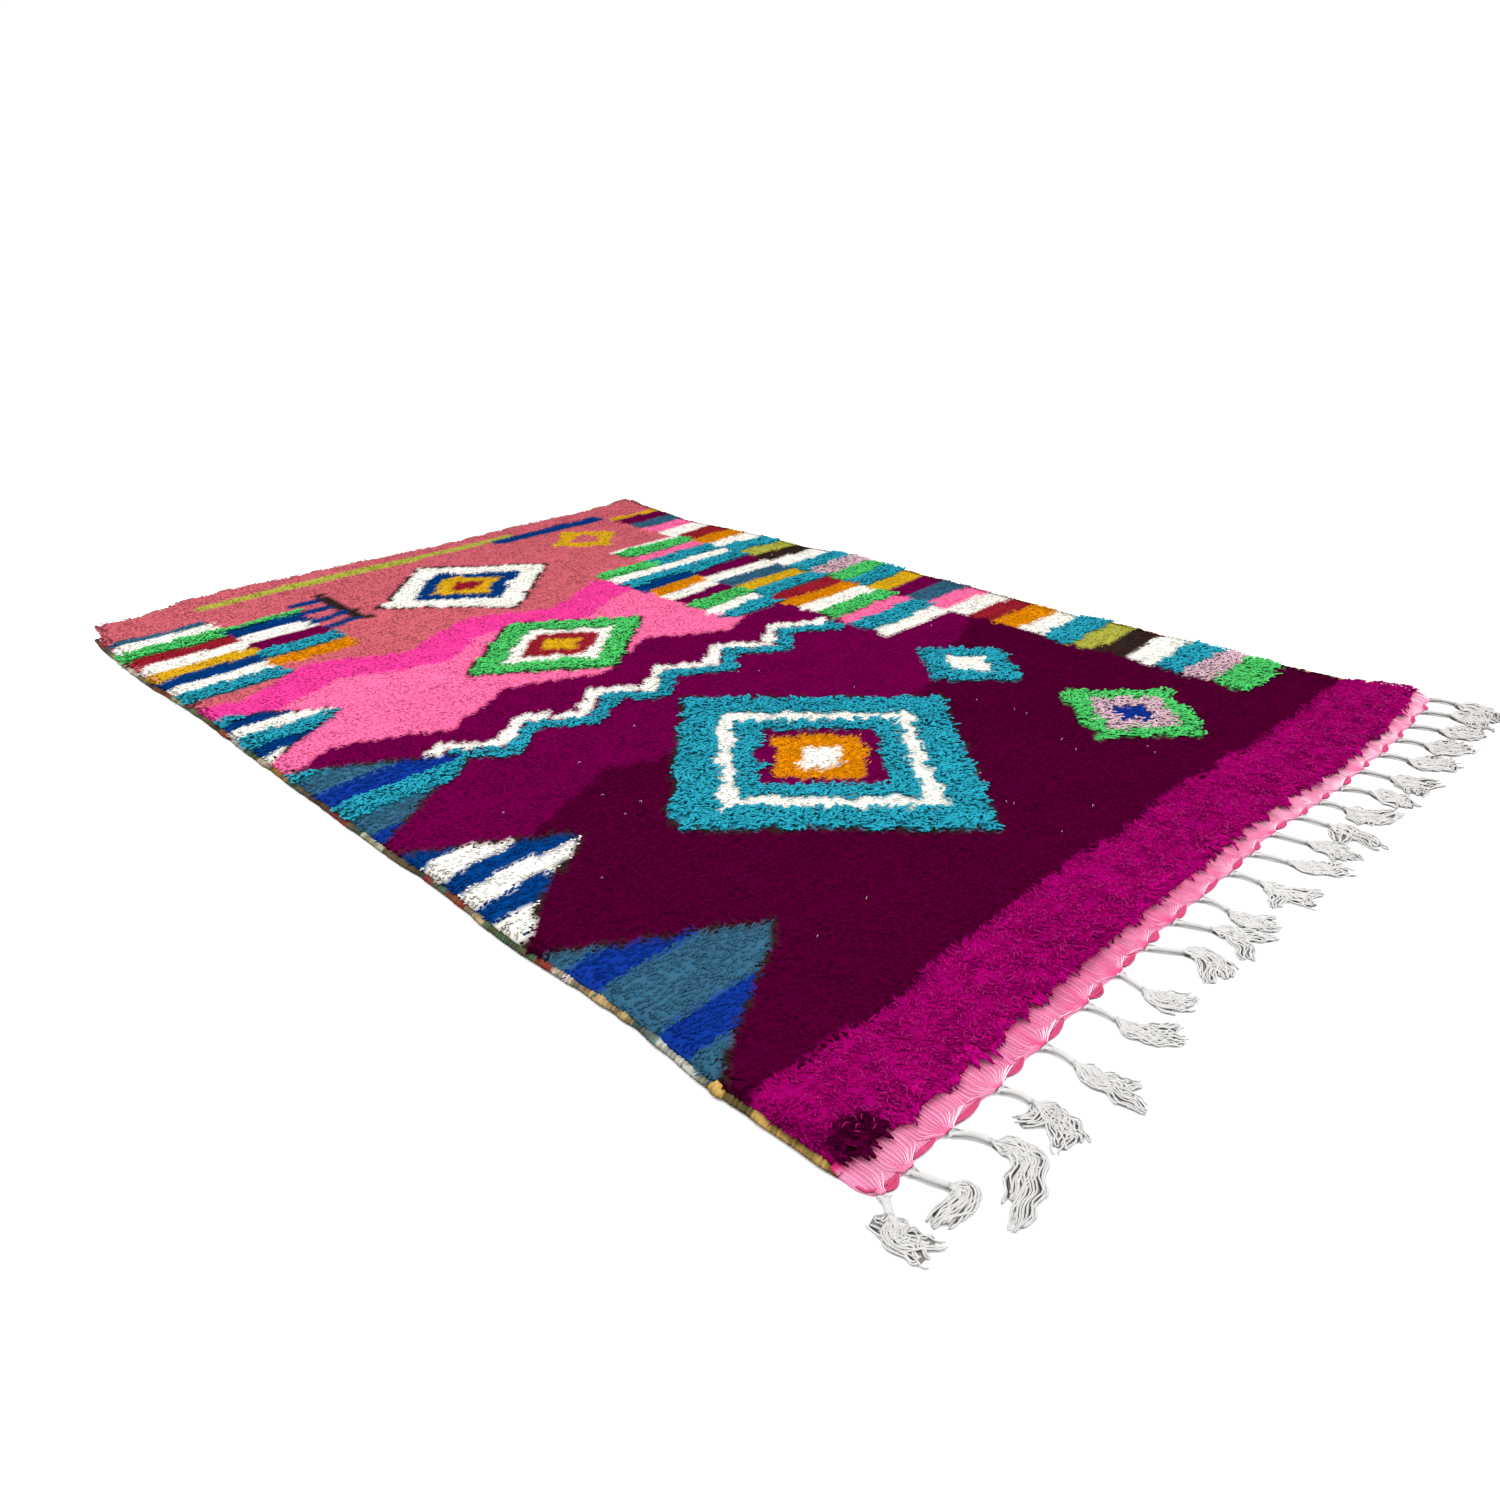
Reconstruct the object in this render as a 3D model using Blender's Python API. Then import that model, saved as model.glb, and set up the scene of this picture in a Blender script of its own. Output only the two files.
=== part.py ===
"""A hand-knotted wool rug with a flat-woven end strip and a knotted fringe, lying on a floor.

The origin is in the middle of the underside. +X runs across the rug, +Y runs along it away
from the fringe, +Z is up, and the floor is z = 0. Every length is in metres.
"""

import bisect
import math
import random
from collections import namedtuple

import bmesh
import bpy
from mathutils import Vector, noise

# Driving dimensions
GAP = 0.0003  # the clearance between two pieces
CLOTH = 0.005  # the ground weave under the pile
PILE = 0.0145  # the plain field, from the floor to the tips of its pile
BAND = 0.0195  # the shaggy band across the fringe end
BAND_REACH = 0.125  # how far that band runs up the rug
BAND_SLOPE = 0.03  # the stretch over which it falls to the field
PILE_EDGE_DROP = 0.0015  # how much lower the pile is along the rim
LUMP = 0.0018  # how far the pile's lumps rise and fall
LUMP_SIZE = 0.11  # from one lump to the next
SMALL_LUMP = 0.6  # the smaller lumps' height, against the large ones
SMALL_LUMPS = 2.3  # how many of them there are to a large one
STRIP = 0.0045  # thickness of the flat-woven end strip
PUCKER = 0.0008  # how far the strip rises between two tassels
SELVEDGE_WIDTH = 0.010
SELVEDGE_HEIGHT = 0.007
SELVEDGE_SHOULDER = 0.62  # its height at the sides, against its crown
SELVEDGE_WRAP = 0.0007  # how far its bound yarn swells and narrows
SELVEDGE_TURN = 2.4  # how much of that wave passes from one row of points to the next
SELVEDGE_START = 0.07  # how much of the first row is left free beside the end strip
KNOT_PLACE = -0.967  # a knot in the left selvedge
KNOT_SWELL = 0.004
KNOT_REACH = 0.04
RIGHT_COVER = 0.004  # how far the pile reaches past the right selvedge
LEAN_LEFT = 0.003  # how far the pile's tips lean out over each selvedge
LEAN_RIGHT = 0.009
FAR_COVER = 0.006  # how far the hem shows past the foot of the pile
LIFT_REACH = 0.24  # how far in from the far end its wave dies away

# The pile's block of cells, and the locks along its rim
PILE_CELLS_PER_SPAN = 2  # columns from one tassel to the next
PILE_CELLS_ALONG = 40
BAND_CELLS = 4  # rows of cells given to the shaggy band
FREE_ROWS = 5  # rows at the far end whose underside lifts off the floor
EDGE_CELL = 0.006  # the narrowest cell beside an edge
LOCK_TIP = 0.45  # a lock's tip, against its root
LOCK_SEED = 11

# The last weft, which swells between the tassels
WEFT_ROOT = 0.003
WEFT_SWELL = 0.010
WEFT_HEIGHT = 0.005
WEFT_CROWN = (0.5, 1.0, 0.8)  # its height at its outer edge, its middle and the strip
SCALLOP = 0.004  # how far the strip's edge is drawn out at a tassel
SCALLOP_REACH = 0.04
STRIP_CELLS_PER_SPAN = 4

# A tassel: a neck of bundled warps, and the strands that leave it
NECK_STEPS = 3
NECK_CELLS = 4  # cells across the neck, each the root of two strands
NECK_WIDTH = (0.015, 0.0085, 0.0085, 0.0125)
NECK_HEIGHT = (0.0035, 0.0065, 0.0075, 0.0062)
NECK_CENTRE = (0.0022, 0.0052, 0.0058, 0.0040)
NECK_SIDE = 0.4  # how tall the neck is at its sides, against its middle
STRAND_STEPS = 3
STRAND_WIDTH = 0.0040
STRAND_HEIGHT = (0.0044, 0.0036, 0.0028)
STRAND_ROOM = 1.6  # a strand's greatest width, against its distance from the next
STRAND_FOOT = (0.0012, 0.0, 0.0)  # how high a strand's underside is at each step
STRAND_TRIM = 0.14  # how unevenly the strands are cut
STRAND_PULL = 0.45  # how far they keep the neck's heading, as a share of their length
STRAND_FAN = 0.8  # how soon they spread: below 1, mostly near the neck
STRAND_WAVE = 0.10  # how far they bend, as a share of their length
STRAND_WAVES = 0.75  # how many waves there are along a strand
STRAND_SHIFT = 40.0  # how the waves of one tassel differ from the next's
STRAND_SEED = 100

SHARP = math.radians(50)  # a fold over this stays sharp when it is shaded

Side = namedtuple("Side", "along out")
LEFT_SIDE = (
    Side(-1.20, -0.828),
    Side(-1.09, -0.834),
    Side(-0.97, -0.835),
    Side(-0.79, -0.829),
    Side(-0.55, -0.840),
    Side(-0.40, -0.833),
    Side(-0.23, -0.838),
    Side(0.23, -0.838),
    Side(0.49, -0.836),
    Side(0.77, -0.847),
    Side(0.98, -0.843),
    Side(1.20, -0.827),
)
RIGHT_SIDE = (
    Side(-1.20, 0.824),
    Side(-1.13, 0.838),
    Side(-1.05, 0.805),
    Side(-0.87, 0.795),
    Side(-0.72, 0.806),
    Side(-0.65, 0.793),
    Side(-0.57, 0.804),
    Side(-0.48, 0.785),
    Side(-0.24, 0.796),
    Side(-0.14, 0.805),
    Side(-0.05, 0.800),
    Side(0.12, 0.809),
    Side(0.28, 0.810),
    Side(0.38, 0.790),
    Side(0.50, 0.797),
    Side(0.69, 0.783),
    Side(0.82, 0.769),
    Side(1.06, 0.794),
    Side(1.20, 0.824),
)

FarEnd = namedtuple("FarEnd", "across out lift")
FAR_END = (
    FarEnd(-0.84, 1.192, 0.007),
    FarEnd(-0.77, 1.188, 0.002),
    FarEnd(-0.71, 1.180, 0.0),
    FarEnd(-0.60, 1.199, 0.008),
    FarEnd(-0.42, 1.202, 0.010),
    FarEnd(-0.31, 1.196, 0.005),
    FarEnd(-0.20, 1.197, 0.005),
    FarEnd(0.00, 1.190, 0.001),
    FarEnd(0.12, 1.181, 0.0),
    FarEnd(0.39, 1.187, 0.0),
    FarEnd(0.67, 1.179, 0.0),
    FarEnd(0.82, 1.191, 0.004),
)

NearEnd = namedtuple("NearEnd", "across pile strip")
NEAR_END = (
    NearEnd(-0.84, -1.143, -1.186),
    NearEnd(-0.74, -1.146, -1.182),
    NearEnd(-0.60, -1.148, -1.184),
    NearEnd(-0.42, -1.141, -1.180),
    NearEnd(-0.20, -1.143, -1.175),
    NearEnd(-0.04, -1.149, -1.179),
    NearEnd(0.12, -1.150, -1.178),
    NearEnd(0.26, -1.161, -1.191),
    NearEnd(0.38, -1.175, -1.200),
    NearEnd(0.60, -1.177, -1.203),
    NearEnd(0.75, -1.170, -1.197),
    NearEnd(0.84, -1.160, -1.188),
)

# Which faces of the pile's rim a lock grows from, which way, and how far
RimEdge = namedtuple("RimEdge", "axis end out_x out_y every shortest longest fall")
RIM_EDGES = (
    RimEdge("y", 0.0, 0, -1, 1, 0.007, 0.013, 0.0035),
    RimEdge("y", 1.0, 0, 1, 2, 0.004, 0.007, 0.001),
    RimEdge("x", 0.0, -1, 0, 2, 0.004, 0.008, 0.0),
    RimEdge("x", 1.0, 1, 0, 2, 0.006, 0.011, 0.0),
)

# Each tassel's root across the rug, then where its neck ends and where its strands end,
# from that root, and how wide the strands fan out.
Tassel = namedtuple("Tassel", "across neck_x neck_y tip_x tip_y fan")
TASSELS = (
    Tassel(-0.818, -0.014, -0.020, -0.018, -0.072, 0.028),
    Tassel(-0.775, 0.014, -0.034, -0.034, -0.052, 0.024),
    Tassel(-0.706, 0.022, -0.036, -0.066, -0.108, 0.044),
    Tassel(-0.617, 0.008, -0.036, -0.016, -0.104, 0.046),
    Tassel(-0.525, 0.000, -0.042, 0.006, -0.130, 0.044),
    Tassel(-0.428, 0.002, -0.040, 0.026, -0.114, 0.036),
    Tassel(-0.344, -0.009, -0.036, 0.002, -0.092, 0.040),
    Tassel(-0.272, 0.024, -0.038, 0.012, -0.106, 0.044),
    Tassel(-0.195, 0.018, -0.043, 0.030, -0.120, 0.056),
    Tassel(-0.118, -0.003, -0.040, 0.003, -0.104, 0.036),
    Tassel(-0.028, 0.004, -0.038, 0.002, -0.120, 0.054),
    Tassel(0.044, 0.012, -0.046, 0.048, -0.122, 0.036),
    Tassel(0.121, 0.008, -0.046, 0.014, -0.118, 0.034),
    Tassel(0.199, 0.003, -0.042, -0.008, -0.126, 0.040),
    Tassel(0.268, 0.000, -0.034, 0.010, -0.088, 0.038),
    Tassel(0.335, 0.020, -0.038, 0.022, -0.092, 0.036),
    Tassel(0.423, 0.005, -0.041, 0.006, -0.094, 0.050),
    Tassel(0.506, 0.010, -0.038, 0.052, -0.092, 0.030),
    Tassel(0.585, 0.012, -0.038, 0.054, -0.088, 0.030),
    Tassel(0.662, 0.014, -0.040, 0.050, -0.090, 0.030),
    Tassel(0.742, 0.018, -0.040, 0.020, -0.098, 0.036),
    Tassel(0.812, 0.020, -0.038, 0.014, -0.104, 0.034),
)


def smooth(share):
    """0 to 1, easing in and out."""
    share = min(1.0, max(0.0, share))
    return share * share * (3 - 2 * share)


def read(rows, at, column):
    """A column of a table, read at a place between two of its rows."""
    for low, high in zip(rows, rows[1:]):
        if at <= high[0]:
            break
    share = smooth((at - low[0]) / (high[0] - low[0]))
    return getattr(low, column) * (1 - share) + getattr(high, column) * share


def between(low, high, share):
    return low * (1 - share) + high * share


def lift_at(x, y):
    """How far the far end's wave holds the rug off the floor."""
    start = read(FAR_END, x, "out") - LIFT_REACH
    return read(FAR_END, x, "lift") * smooth((y - start) / LIFT_REACH)


def lump_at(x, y):
    place = Vector((x, y, 0.0)) / LUMP_SIZE
    return LUMP * (noise.noise(place) + SMALL_LUMP * noise.noise(place * SMALL_LUMPS))


def pile_height(x, y):
    """The pile's own height: highest on the shaggy band, lumpy all over."""
    past_band = y - read(NEAR_END, x, "pile") - BAND_REACH
    return between(BAND, PILE, smooth(past_band / BAND_SLOPE + 0.5)) + lump_at(x, y)


def strip_edge(x):
    """The strip's outer edge, drawn out where a tassel's warps leave it."""
    nearest = min(abs(x - tassel.across) for tassel in TASSELS)
    drawn = math.cos(min(1.0, nearest / SCALLOP_REACH) * math.pi)
    return read(NEAR_END, x, "strip") - SCALLOP / 2 * drawn


def stations(first, last, cells_per_span):
    """Places across the rug: its two edges, the tassels between them, and more in each span."""
    roots = [tassel.across for tassel in TASSELS]
    places = []
    for low, high in zip(roots, roots[1:]):
        places += [between(low, high, step / cells_per_span) for step in range(cells_per_span)]
    places.append(roots[-1])
    inside = [place for place in places if first + EDGE_CELL < place < last - EDGE_CELL]
    return [first, *inside, last]


def pile_columns():
    """Where the pile's columns of cells meet the end strip."""
    left = read(LEFT_SIDE, NEAR_END[0].pile, "out") + SELVEDGE_WIDTH + GAP
    right = read(RIGHT_SIDE, NEAR_END[-1].pile, "out") - RIGHT_COVER - SELVEDGE_WIDTH - GAP
    return stations(left, right, PILE_CELLS_PER_SPAN)


def pile_rim(x):
    """The pile's near edge, straight from one column to the next and beyond the last."""
    columns = pile_columns()
    at = min(max(bisect.bisect(columns, x), 1), len(columns) - 1)
    low, high = columns[at - 1], columns[at]
    ends = [read(NEAR_END, place, "pile") for place in (low, high)]
    return between(*ends, (x - low) / (high - low))


def block_of_cells(across, along, levels):
    """A closed block of cells whose points still count cells: (0 to 1, 0 to 1, level)."""
    block = bmesh.new()
    bmesh.ops.create_grid(block, x_segments=across, y_segments=along, size=0.5)
    bmesh.ops.translate(block, vec=(0.5, 0.5, 0.0), verts=block.verts)
    layer = [*block.faces, *block.edges, *block.verts]
    for _ in range(levels):
        grown = bmesh.ops.extrude_face_region(block, geom=layer)["geom"]
        layer = grown
        raised = [item for item in grown if isinstance(item, bmesh.types.BMVert)]
        bmesh.ops.translate(block, vec=(0.0, 0.0, 1.0), verts=raised)
    bmesh.ops.recalc_face_normals(block, faces=block.faces)
    return block


def wool(name, colour, roughness):
    material = bpy.data.materials.new(name)
    material.diffuse_color = colour
    material.use_nodes = True
    shader = material.node_tree.nodes["Principled BSDF"]
    shader.inputs["Base Color"].default_value = colour
    shader.inputs["Roughness"].default_value = roughness
    shader.inputs["Metallic"].default_value = 0.0
    return material


def add_piece(name, block, material):
    mesh = bpy.data.meshes.new(name)
    block.to_mesh(mesh)
    block.free()
    mesh.shade_smooth()
    mesh.set_sharp_from_angle(angle=SHARP)
    mesh.materials.append(material)
    piece = bpy.data.objects.new(name, mesh)
    bpy.context.scene.collection.objects.link(piece)
    return piece


def place_on_pile(cell, columns):
    """Puts a point of the pile's block in its place, and follows the rug's uneven outline."""
    u, v, level = cell
    column = round(u * (len(columns) - 1))
    row = round(v * PILE_CELLS_ALONG)
    near = read(NEAR_END, columns[column], "pile")
    far = read(FAR_END, columns[column], "out")
    band_end = near + BAND_REACH
    if row < BAND_CELLS:
        y = between(near, band_end, row / BAND_CELLS)
    else:
        y = between(band_end, far, (row - BAND_CELLS) / (PILE_CELLS_ALONG - BAND_CELLS))
    share = (columns[column] - columns[0]) / (columns[-1] - columns[0])
    left = read(LEFT_SIDE, y, "out") + SELVEDGE_WIDTH + GAP
    right = read(RIGHT_SIDE, y, "out") - RIGHT_COVER - SELVEDGE_WIDTH - GAP
    x = columns[column] if row == 0 else between(left, right, share)
    on_rim = column in (0, len(columns) - 1) or row in (0, PILE_CELLS_ALONG)
    if level == 0:
        z = 0.0
    elif level == 1:
        beside_selvedge = column in (0, len(columns) - 1) or row < PILE_CELLS_ALONG
        z = SELVEDGE_HEIGHT + 3 * SELVEDGE_WRAP if beside_selvedge else CLOTH
    else:
        z = pile_height(x, y) - (PILE_EDGE_DROP if on_rim else 0.0)
        if row > 0:
            x += LEAN_RIGHT if column == len(columns) - 1 else 0.0
            x -= LEAN_LEFT if column == 0 else 0.0
        y -= FAR_COVER if row == PILE_CELLS_ALONG else 0.0
    return Vector((x, y, z + lift_at(x, y)))


def grow_locks(block, rim):
    """Draws a lock of pile out of each face of the rim, narrower and lower at its tip."""
    for face, reach in rim:
        lock = bmesh.ops.extrude_discrete_faces(block, faces=[face])["faces"][0]
        middle = lock.calc_center_median()
        for corner in lock.verts:
            corner.co = middle.lerp(corner.co, LOCK_TIP) + reach


def make_pile_field(material):
    """The knotted field: a lumpy slab on a flat underside, with locks of pile along its rim."""
    columns = pile_columns()
    cells = len(columns) - 1
    block = block_of_cells(cells, PILE_CELLS_ALONG, 2)
    free_from = 1 - FREE_ROWS / PILE_CELLS_ALONG
    flat = []
    rim = []
    chance = random.Random(LOCK_SEED)
    for face in sorted(block.faces, key=lambda face: face.calc_center_median().to_tuple(3)):
        middle = face.calc_center_median()
        underneath = middle.z < 0.25
        upper_side = abs(middle.z - 1.5) < 0.25
        if underneath and middle.y < free_from:
            flat.append(face)
        if not upper_side:
            continue
        column = int(middle.x * cells)
        row = int(middle.y * PILE_CELLS_ALONG)
        for edge in RIM_EDGES:
            on_edge = abs(getattr(middle, edge.axis) - edge.end) < 0.001
            if on_edge and (column + row) % edge.every == 0:
                out = Vector((edge.out_x, edge.out_y, 0.0))
                out *= chance.uniform(edge.shortest, edge.longest)
                rim.append((face, out - Vector((0.0, 0.0, edge.fall))))
    bmesh.ops.dissolve_faces(block, faces=flat)
    for corner in block.verts:
        corner.co = place_on_pile(corner.co, columns)
    grow_locks(block, rim)
    return add_piece("pile_field", block, material)


def make_selvedge(name, side, material):
    """One bound edge: a lumpy cord with a flat foot, against the pile's left or right side."""
    columns = pile_columns()
    block = block_of_cells(2, PILE_CELLS_ALONG, 1)
    for corner in block.verts:
        u, v, level = corner.co
        row = round(v * PILE_CELLS_ALONG)
        foot = place_on_pile((max(side, 0), v, 0), columns)
        if row == 0:
            second = place_on_pile((max(side, 0), 1 / PILE_CELLS_ALONG, 0), columns)
            foot = foot.lerp(second, SELVEDGE_START)
        wrap = SELVEDGE_WRAP * math.sin(row * SELVEDGE_TURN)
        knot = 0.0
        if side < 0:
            knot = KNOT_SWELL * max(0.0, 1 - abs(foot.y - KNOT_PLACE) / KNOT_REACH)
        inner = foot.x + side * GAP
        outer = inner + side * (SELVEDGE_WIDTH + wrap + knot)
        x = between(min(inner, outer), max(inner, outer), u)
        crown = 1.0 if round(u * 2) == 1 else SELVEDGE_SHOULDER
        z = level * (SELVEDGE_HEIGHT + wrap) * crown
        corner.co = (x, foot.y, foot.z + z)
    return add_piece(name, block, material)


def strip_columns():
    left = read(LEFT_SIDE, NEAR_END[0].pile, "out")
    right = read(RIGHT_SIDE, NEAR_END[-1].pile, "out") - RIGHT_COVER
    return stations(left, right, STRIP_CELLS_PER_SPAN)


def between_tassels(x):
    """0 at a tassel's root and 1 half way to the next."""
    roots = [tassel.across for tassel in TASSELS]
    for low, high in zip(roots, roots[1:]):
        if low <= x <= high:
            return math.sin(math.pi * (x - low) / (high - low))
    return 0.0


def make_kilim_end(material):
    """The flat-woven strip outside the pile, puckered where its warps gather."""
    columns = strip_columns()
    cells = len(columns) - 1
    block = block_of_cells(cells, 2, 1)
    underside = [face for face in block.faces if face.calc_center_median().z < 0.25]
    bmesh.ops.dissolve_faces(block, faces=underside)
    for corner in block.verts:
        u, v, level = corner.co
        x = columns[round(u * cells)]
        y = between(strip_edge(x), pile_rim(x) - GAP, v)
        in_middle = round(v * 2) == 1
        height = STRIP + PUCKER * between_tassels(x) if in_middle else STRIP - PUCKER
        corner.co = (x, y, level * height)
    return add_piece("kilim_end", block, material)


def weft_outer(x):
    """The outer edge of the last weft."""
    width = between(WEFT_ROOT, WEFT_SWELL, between_tassels(x))
    return strip_edge(x) - GAP - width


def make_end_weft(material):
    """The last bundle of weft, thin behind each tassel and swelling out between them."""
    columns = strip_columns()
    cells = len(columns) - 1
    block = block_of_cells(cells, 2, 1)
    for corner in block.verts:
        u, v, level = corner.co
        x = columns[round(u * cells)]
        y = between(weft_outer(x), strip_edge(x) - GAP, v)
        height = between(STRIP - PUCKER, WEFT_HEIGHT, between_tassels(x))
        z = level * height * WEFT_CROWN[round(v * 2)]
        corner.co = (x, y, z)
    return add_piece("end_weft", block, material)


def across_of(heading):
    """The level direction to the right of a heading, for someone facing the fringe."""
    return Vector((-heading.y, heading.x, 0.0)).normalized()


def root_of(tassel):
    """Where a tassel starts: just clear of the weft, over the whole width of its root."""
    columns = strip_columns()
    at = columns.index(tassel.across)
    middle = weft_outer(tassel.across)
    reach = middle
    for other in (columns[at - 1], columns[at + 1]):
        slope = (weft_outer(other) - middle) / abs(other - tassel.across)
        reach = min(reach, middle + slope * NECK_WIDTH[0] / 2)
    return Vector((tassel.across, reach - GAP, 0.0))


def shape_neck(block, tassel):
    """Lays the neck's block along its path, from a flat fan at its root to a wide end."""
    root = root_of(tassel)
    bend = root + Vector((tassel.neck_x, tassel.neck_y, 0.0))
    start = Vector((0.0, -1.0, 0.0))
    heading = (bend - root).normalized()
    for corner in block.verts:
        u, v, level = corner.co
        step = round(level)
        side = across_of(start.lerp(heading, smooth(step / NECK_STEPS)))
        round_off = between(NECK_SIDE, 1.0, math.sqrt(max(0.0, 1 - (2 * u - 1) ** 2)))
        middle = root.lerp(bend, step / NECK_STEPS)
        offset = side * (u - 0.5) * NECK_WIDTH[step]
        z = NECK_CENTRE[step] + (v - 0.5) * NECK_HEIGHT[step] * round_off
        corner.co = middle + offset + Vector((0.0, 0.0, z))
    return root, bend, heading


def strand_curve(bend, heading, aim, share):
    """A point on the strands' shared curve, which leaves along the neck's heading."""
    pull = bend + heading * (aim - bend).length * STRAND_PULL
    return bend.lerp(pull, share).lerp(pull.lerp(aim, share), share)


def grow_strand(block, face, rank, tassel, path, trim):
    """Draws one three-sided strand out of a face at the neck's end, down to the floor."""
    root, bend, heading = path
    start = face.calc_center_median()
    side = across_of(heading)
    profile = [((point.co - start).dot(side), point.co.z - start.z) for point in face.verts]
    wide = max(across for across, _ in profile) - min(across for across, _ in profile)
    low = min(up for _, up in profile)
    tall = max(up for _, up in profile) - low
    aim = root + Vector((tassel.tip_x, tassel.tip_y, 0.0))
    length = (aim - bend).length
    aim = aim.lerp(bend, trim)
    for step in range(STRAND_STEPS):
        share = (step + 1) / STRAND_STEPS
        middle = strand_curve(bend, heading, aim, share)
        before = strand_curve(bend, heading, aim, share - 0.1)
        step_side = across_of(middle - before)
        fan = between(NECK_WIDTH[-1], tassel.fan, share**STRAND_FAN)
        turned = share * STRAND_WAVES * math.tau + tassel.across * STRAND_SHIFT
        wave = math.sin(turned) * STRAND_WAVE * share
        middle += step_side * (rank * fan / 2 + wave * length)
        width = min(STRAND_WIDTH, STRAND_ROOM * fan / (2 * NECK_CELLS))
        face = bmesh.ops.extrude_discrete_faces(block, faces=[face])["faces"][0]
        for point, (across, up) in zip(face.verts, profile):
            height = (up - low) / tall * STRAND_HEIGHT[step] + STRAND_FOOT[step]
            point.co = middle + step_side * across / wide * width
            point.co.z = height


def make_tassel(number, tassel, material):
    """One tassel: a neck of bundled warps, and strands of them fanned out on the floor."""
    block = block_of_cells(NECK_CELLS, 1, NECK_STEPS)
    ends = [face for face in block.faces if face.calc_center_median().z == NECK_STEPS]
    path = shape_neck(block, tassel)
    ends = bmesh.ops.triangulate(block, faces=ends)["faces"]
    side = across_of(path[2])
    ends.sort(key=lambda face: face.calc_center_median().dot(side))
    chance = random.Random(STRAND_SEED + number)
    for order, face in enumerate(ends):
        rank = (order + 0.5) / NECK_CELLS - 1
        grow_strand(block, face, rank, tassel, path, chance.uniform(0.0, STRAND_TRIM))
    return add_piece(f"tassel_{number:02d}", block, material)


def main():
    for left_over in list(bpy.data.objects):
        bpy.data.objects.remove(left_over)
    pile_wool = wool("pile_wool", (0.16, 0.002, 0.06, 1.0), 0.95)
    strip_wool = wool("strip_wool", (0.84, 0.20, 0.40, 1.0), 0.9)
    weft_wool = wool("weft_wool", (0.62, 0.08, 0.19, 1.0), 0.9)
    edge_wool = wool("edge_wool", (0.31, 0.15, 0.05, 1.0), 0.9)
    warp_yarn = wool("warp_yarn", (0.74, 0.73, 0.71, 1.0), 0.85)
    make_pile_field(pile_wool)
    make_selvedge("selvedge_left", -1, edge_wool)
    make_selvedge("selvedge_right", 1, edge_wool)
    make_kilim_end(strip_wool)
    make_end_weft(weft_wool)
    for number, tassel in enumerate(TASSELS, start=1):
        make_tassel(number, tassel, warp_yarn)


main()
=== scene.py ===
# %% [markdown]
# # A shaggy wool rug, tied knot by knot
#
# A weaver stretches warps on a loom, ties short lengths of dyed yarn round them row by row,
# and beats a few shots of weft down on each row. The cut ends of the knots are the pile. One
# end of this rug closes with a flat-woven strip and a fringe of knotted warps, and the other
# is turned under. The frame's solids give its outline, its thickness and the way it lies, and
# the steps below add the wool. Everything that is placed here is read from those solids.

import math
import random
from collections import namedtuple

import bmesh
import bpy
import numpy as np
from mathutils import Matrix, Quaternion, Vector, noise
from mathutils.bvhtree import BVHTree


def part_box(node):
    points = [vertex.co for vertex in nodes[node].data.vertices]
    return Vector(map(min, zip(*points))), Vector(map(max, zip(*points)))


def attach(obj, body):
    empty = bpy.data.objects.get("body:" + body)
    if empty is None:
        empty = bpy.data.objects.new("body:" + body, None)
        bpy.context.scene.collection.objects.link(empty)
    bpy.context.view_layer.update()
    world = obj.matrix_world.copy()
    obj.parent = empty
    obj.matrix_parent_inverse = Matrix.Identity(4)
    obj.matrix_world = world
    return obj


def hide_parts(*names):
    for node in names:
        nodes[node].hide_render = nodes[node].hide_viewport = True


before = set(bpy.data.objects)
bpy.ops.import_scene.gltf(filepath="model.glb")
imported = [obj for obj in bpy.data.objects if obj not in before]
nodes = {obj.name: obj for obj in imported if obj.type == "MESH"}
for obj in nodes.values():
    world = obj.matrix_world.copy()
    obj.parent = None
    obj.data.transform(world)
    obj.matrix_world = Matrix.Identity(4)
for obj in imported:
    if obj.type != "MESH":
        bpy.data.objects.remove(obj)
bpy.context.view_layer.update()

NOISE_SEED = 4  # without one, noise_vector has other offsets each run, and so has the rug
noise.seed_set(NOISE_SEED)

# %% [markdown]
# ## Measuring the solids
#
# A ray that is shot at a solid says where its surface is. Level rays from outside find the
# rug's wavy edges, and upright ones find the height of its pile and how far its far end lifts
# off the floor. A tree of the solid's faces, a BVH, answers each ray quickly, so thousands of
# them cost little. The edges are kept as rows of numbers that numpy reads between.

# %% Shoot rays at the solids
RAY_FROM = 1.6
CLOTH_LEVEL = 0.003  # above the underside, where the ground weave is
STATION = 0.02
SAFE_SIDE = 0.74  # x that is on the rug at any y
STRIP_LEVEL, WEFT_LEVEL = 0.002, 0.001
PILE_SPAN, BOUND_SPAN = (-1.13, 1.17), (-1.12, 1.16)  # y that the two sides are read over
NEAR_SPAN, FAR_SPAN = (-0.815, 0.80), (-0.82, 0.78)  # x that the two ends are read over
FAR_FOOT = 1.17  # y where the far end's lift is read


def tree_of(name):
    mesh = nodes[name].data
    return BVHTree.FromPolygons([v.co for v in mesh.vertices], [p.vertices for p in mesh.polygons])


solids = ("pile_field", "kilim_end", "end_weft", "selvedge_left", "selvedge_right")
trees = {name: tree_of(name) for name in solids}


def meets(name, start, heading):
    return trees[name].ray_cast(Vector(start), Vector(heading))[0]


def lift_at(x, y):
    """How far the rug's underside is off the floor."""
    found = meets("pile_field", (x, y, -0.1), (0, 0, 1))
    return found.z if found else 0.0


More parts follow.
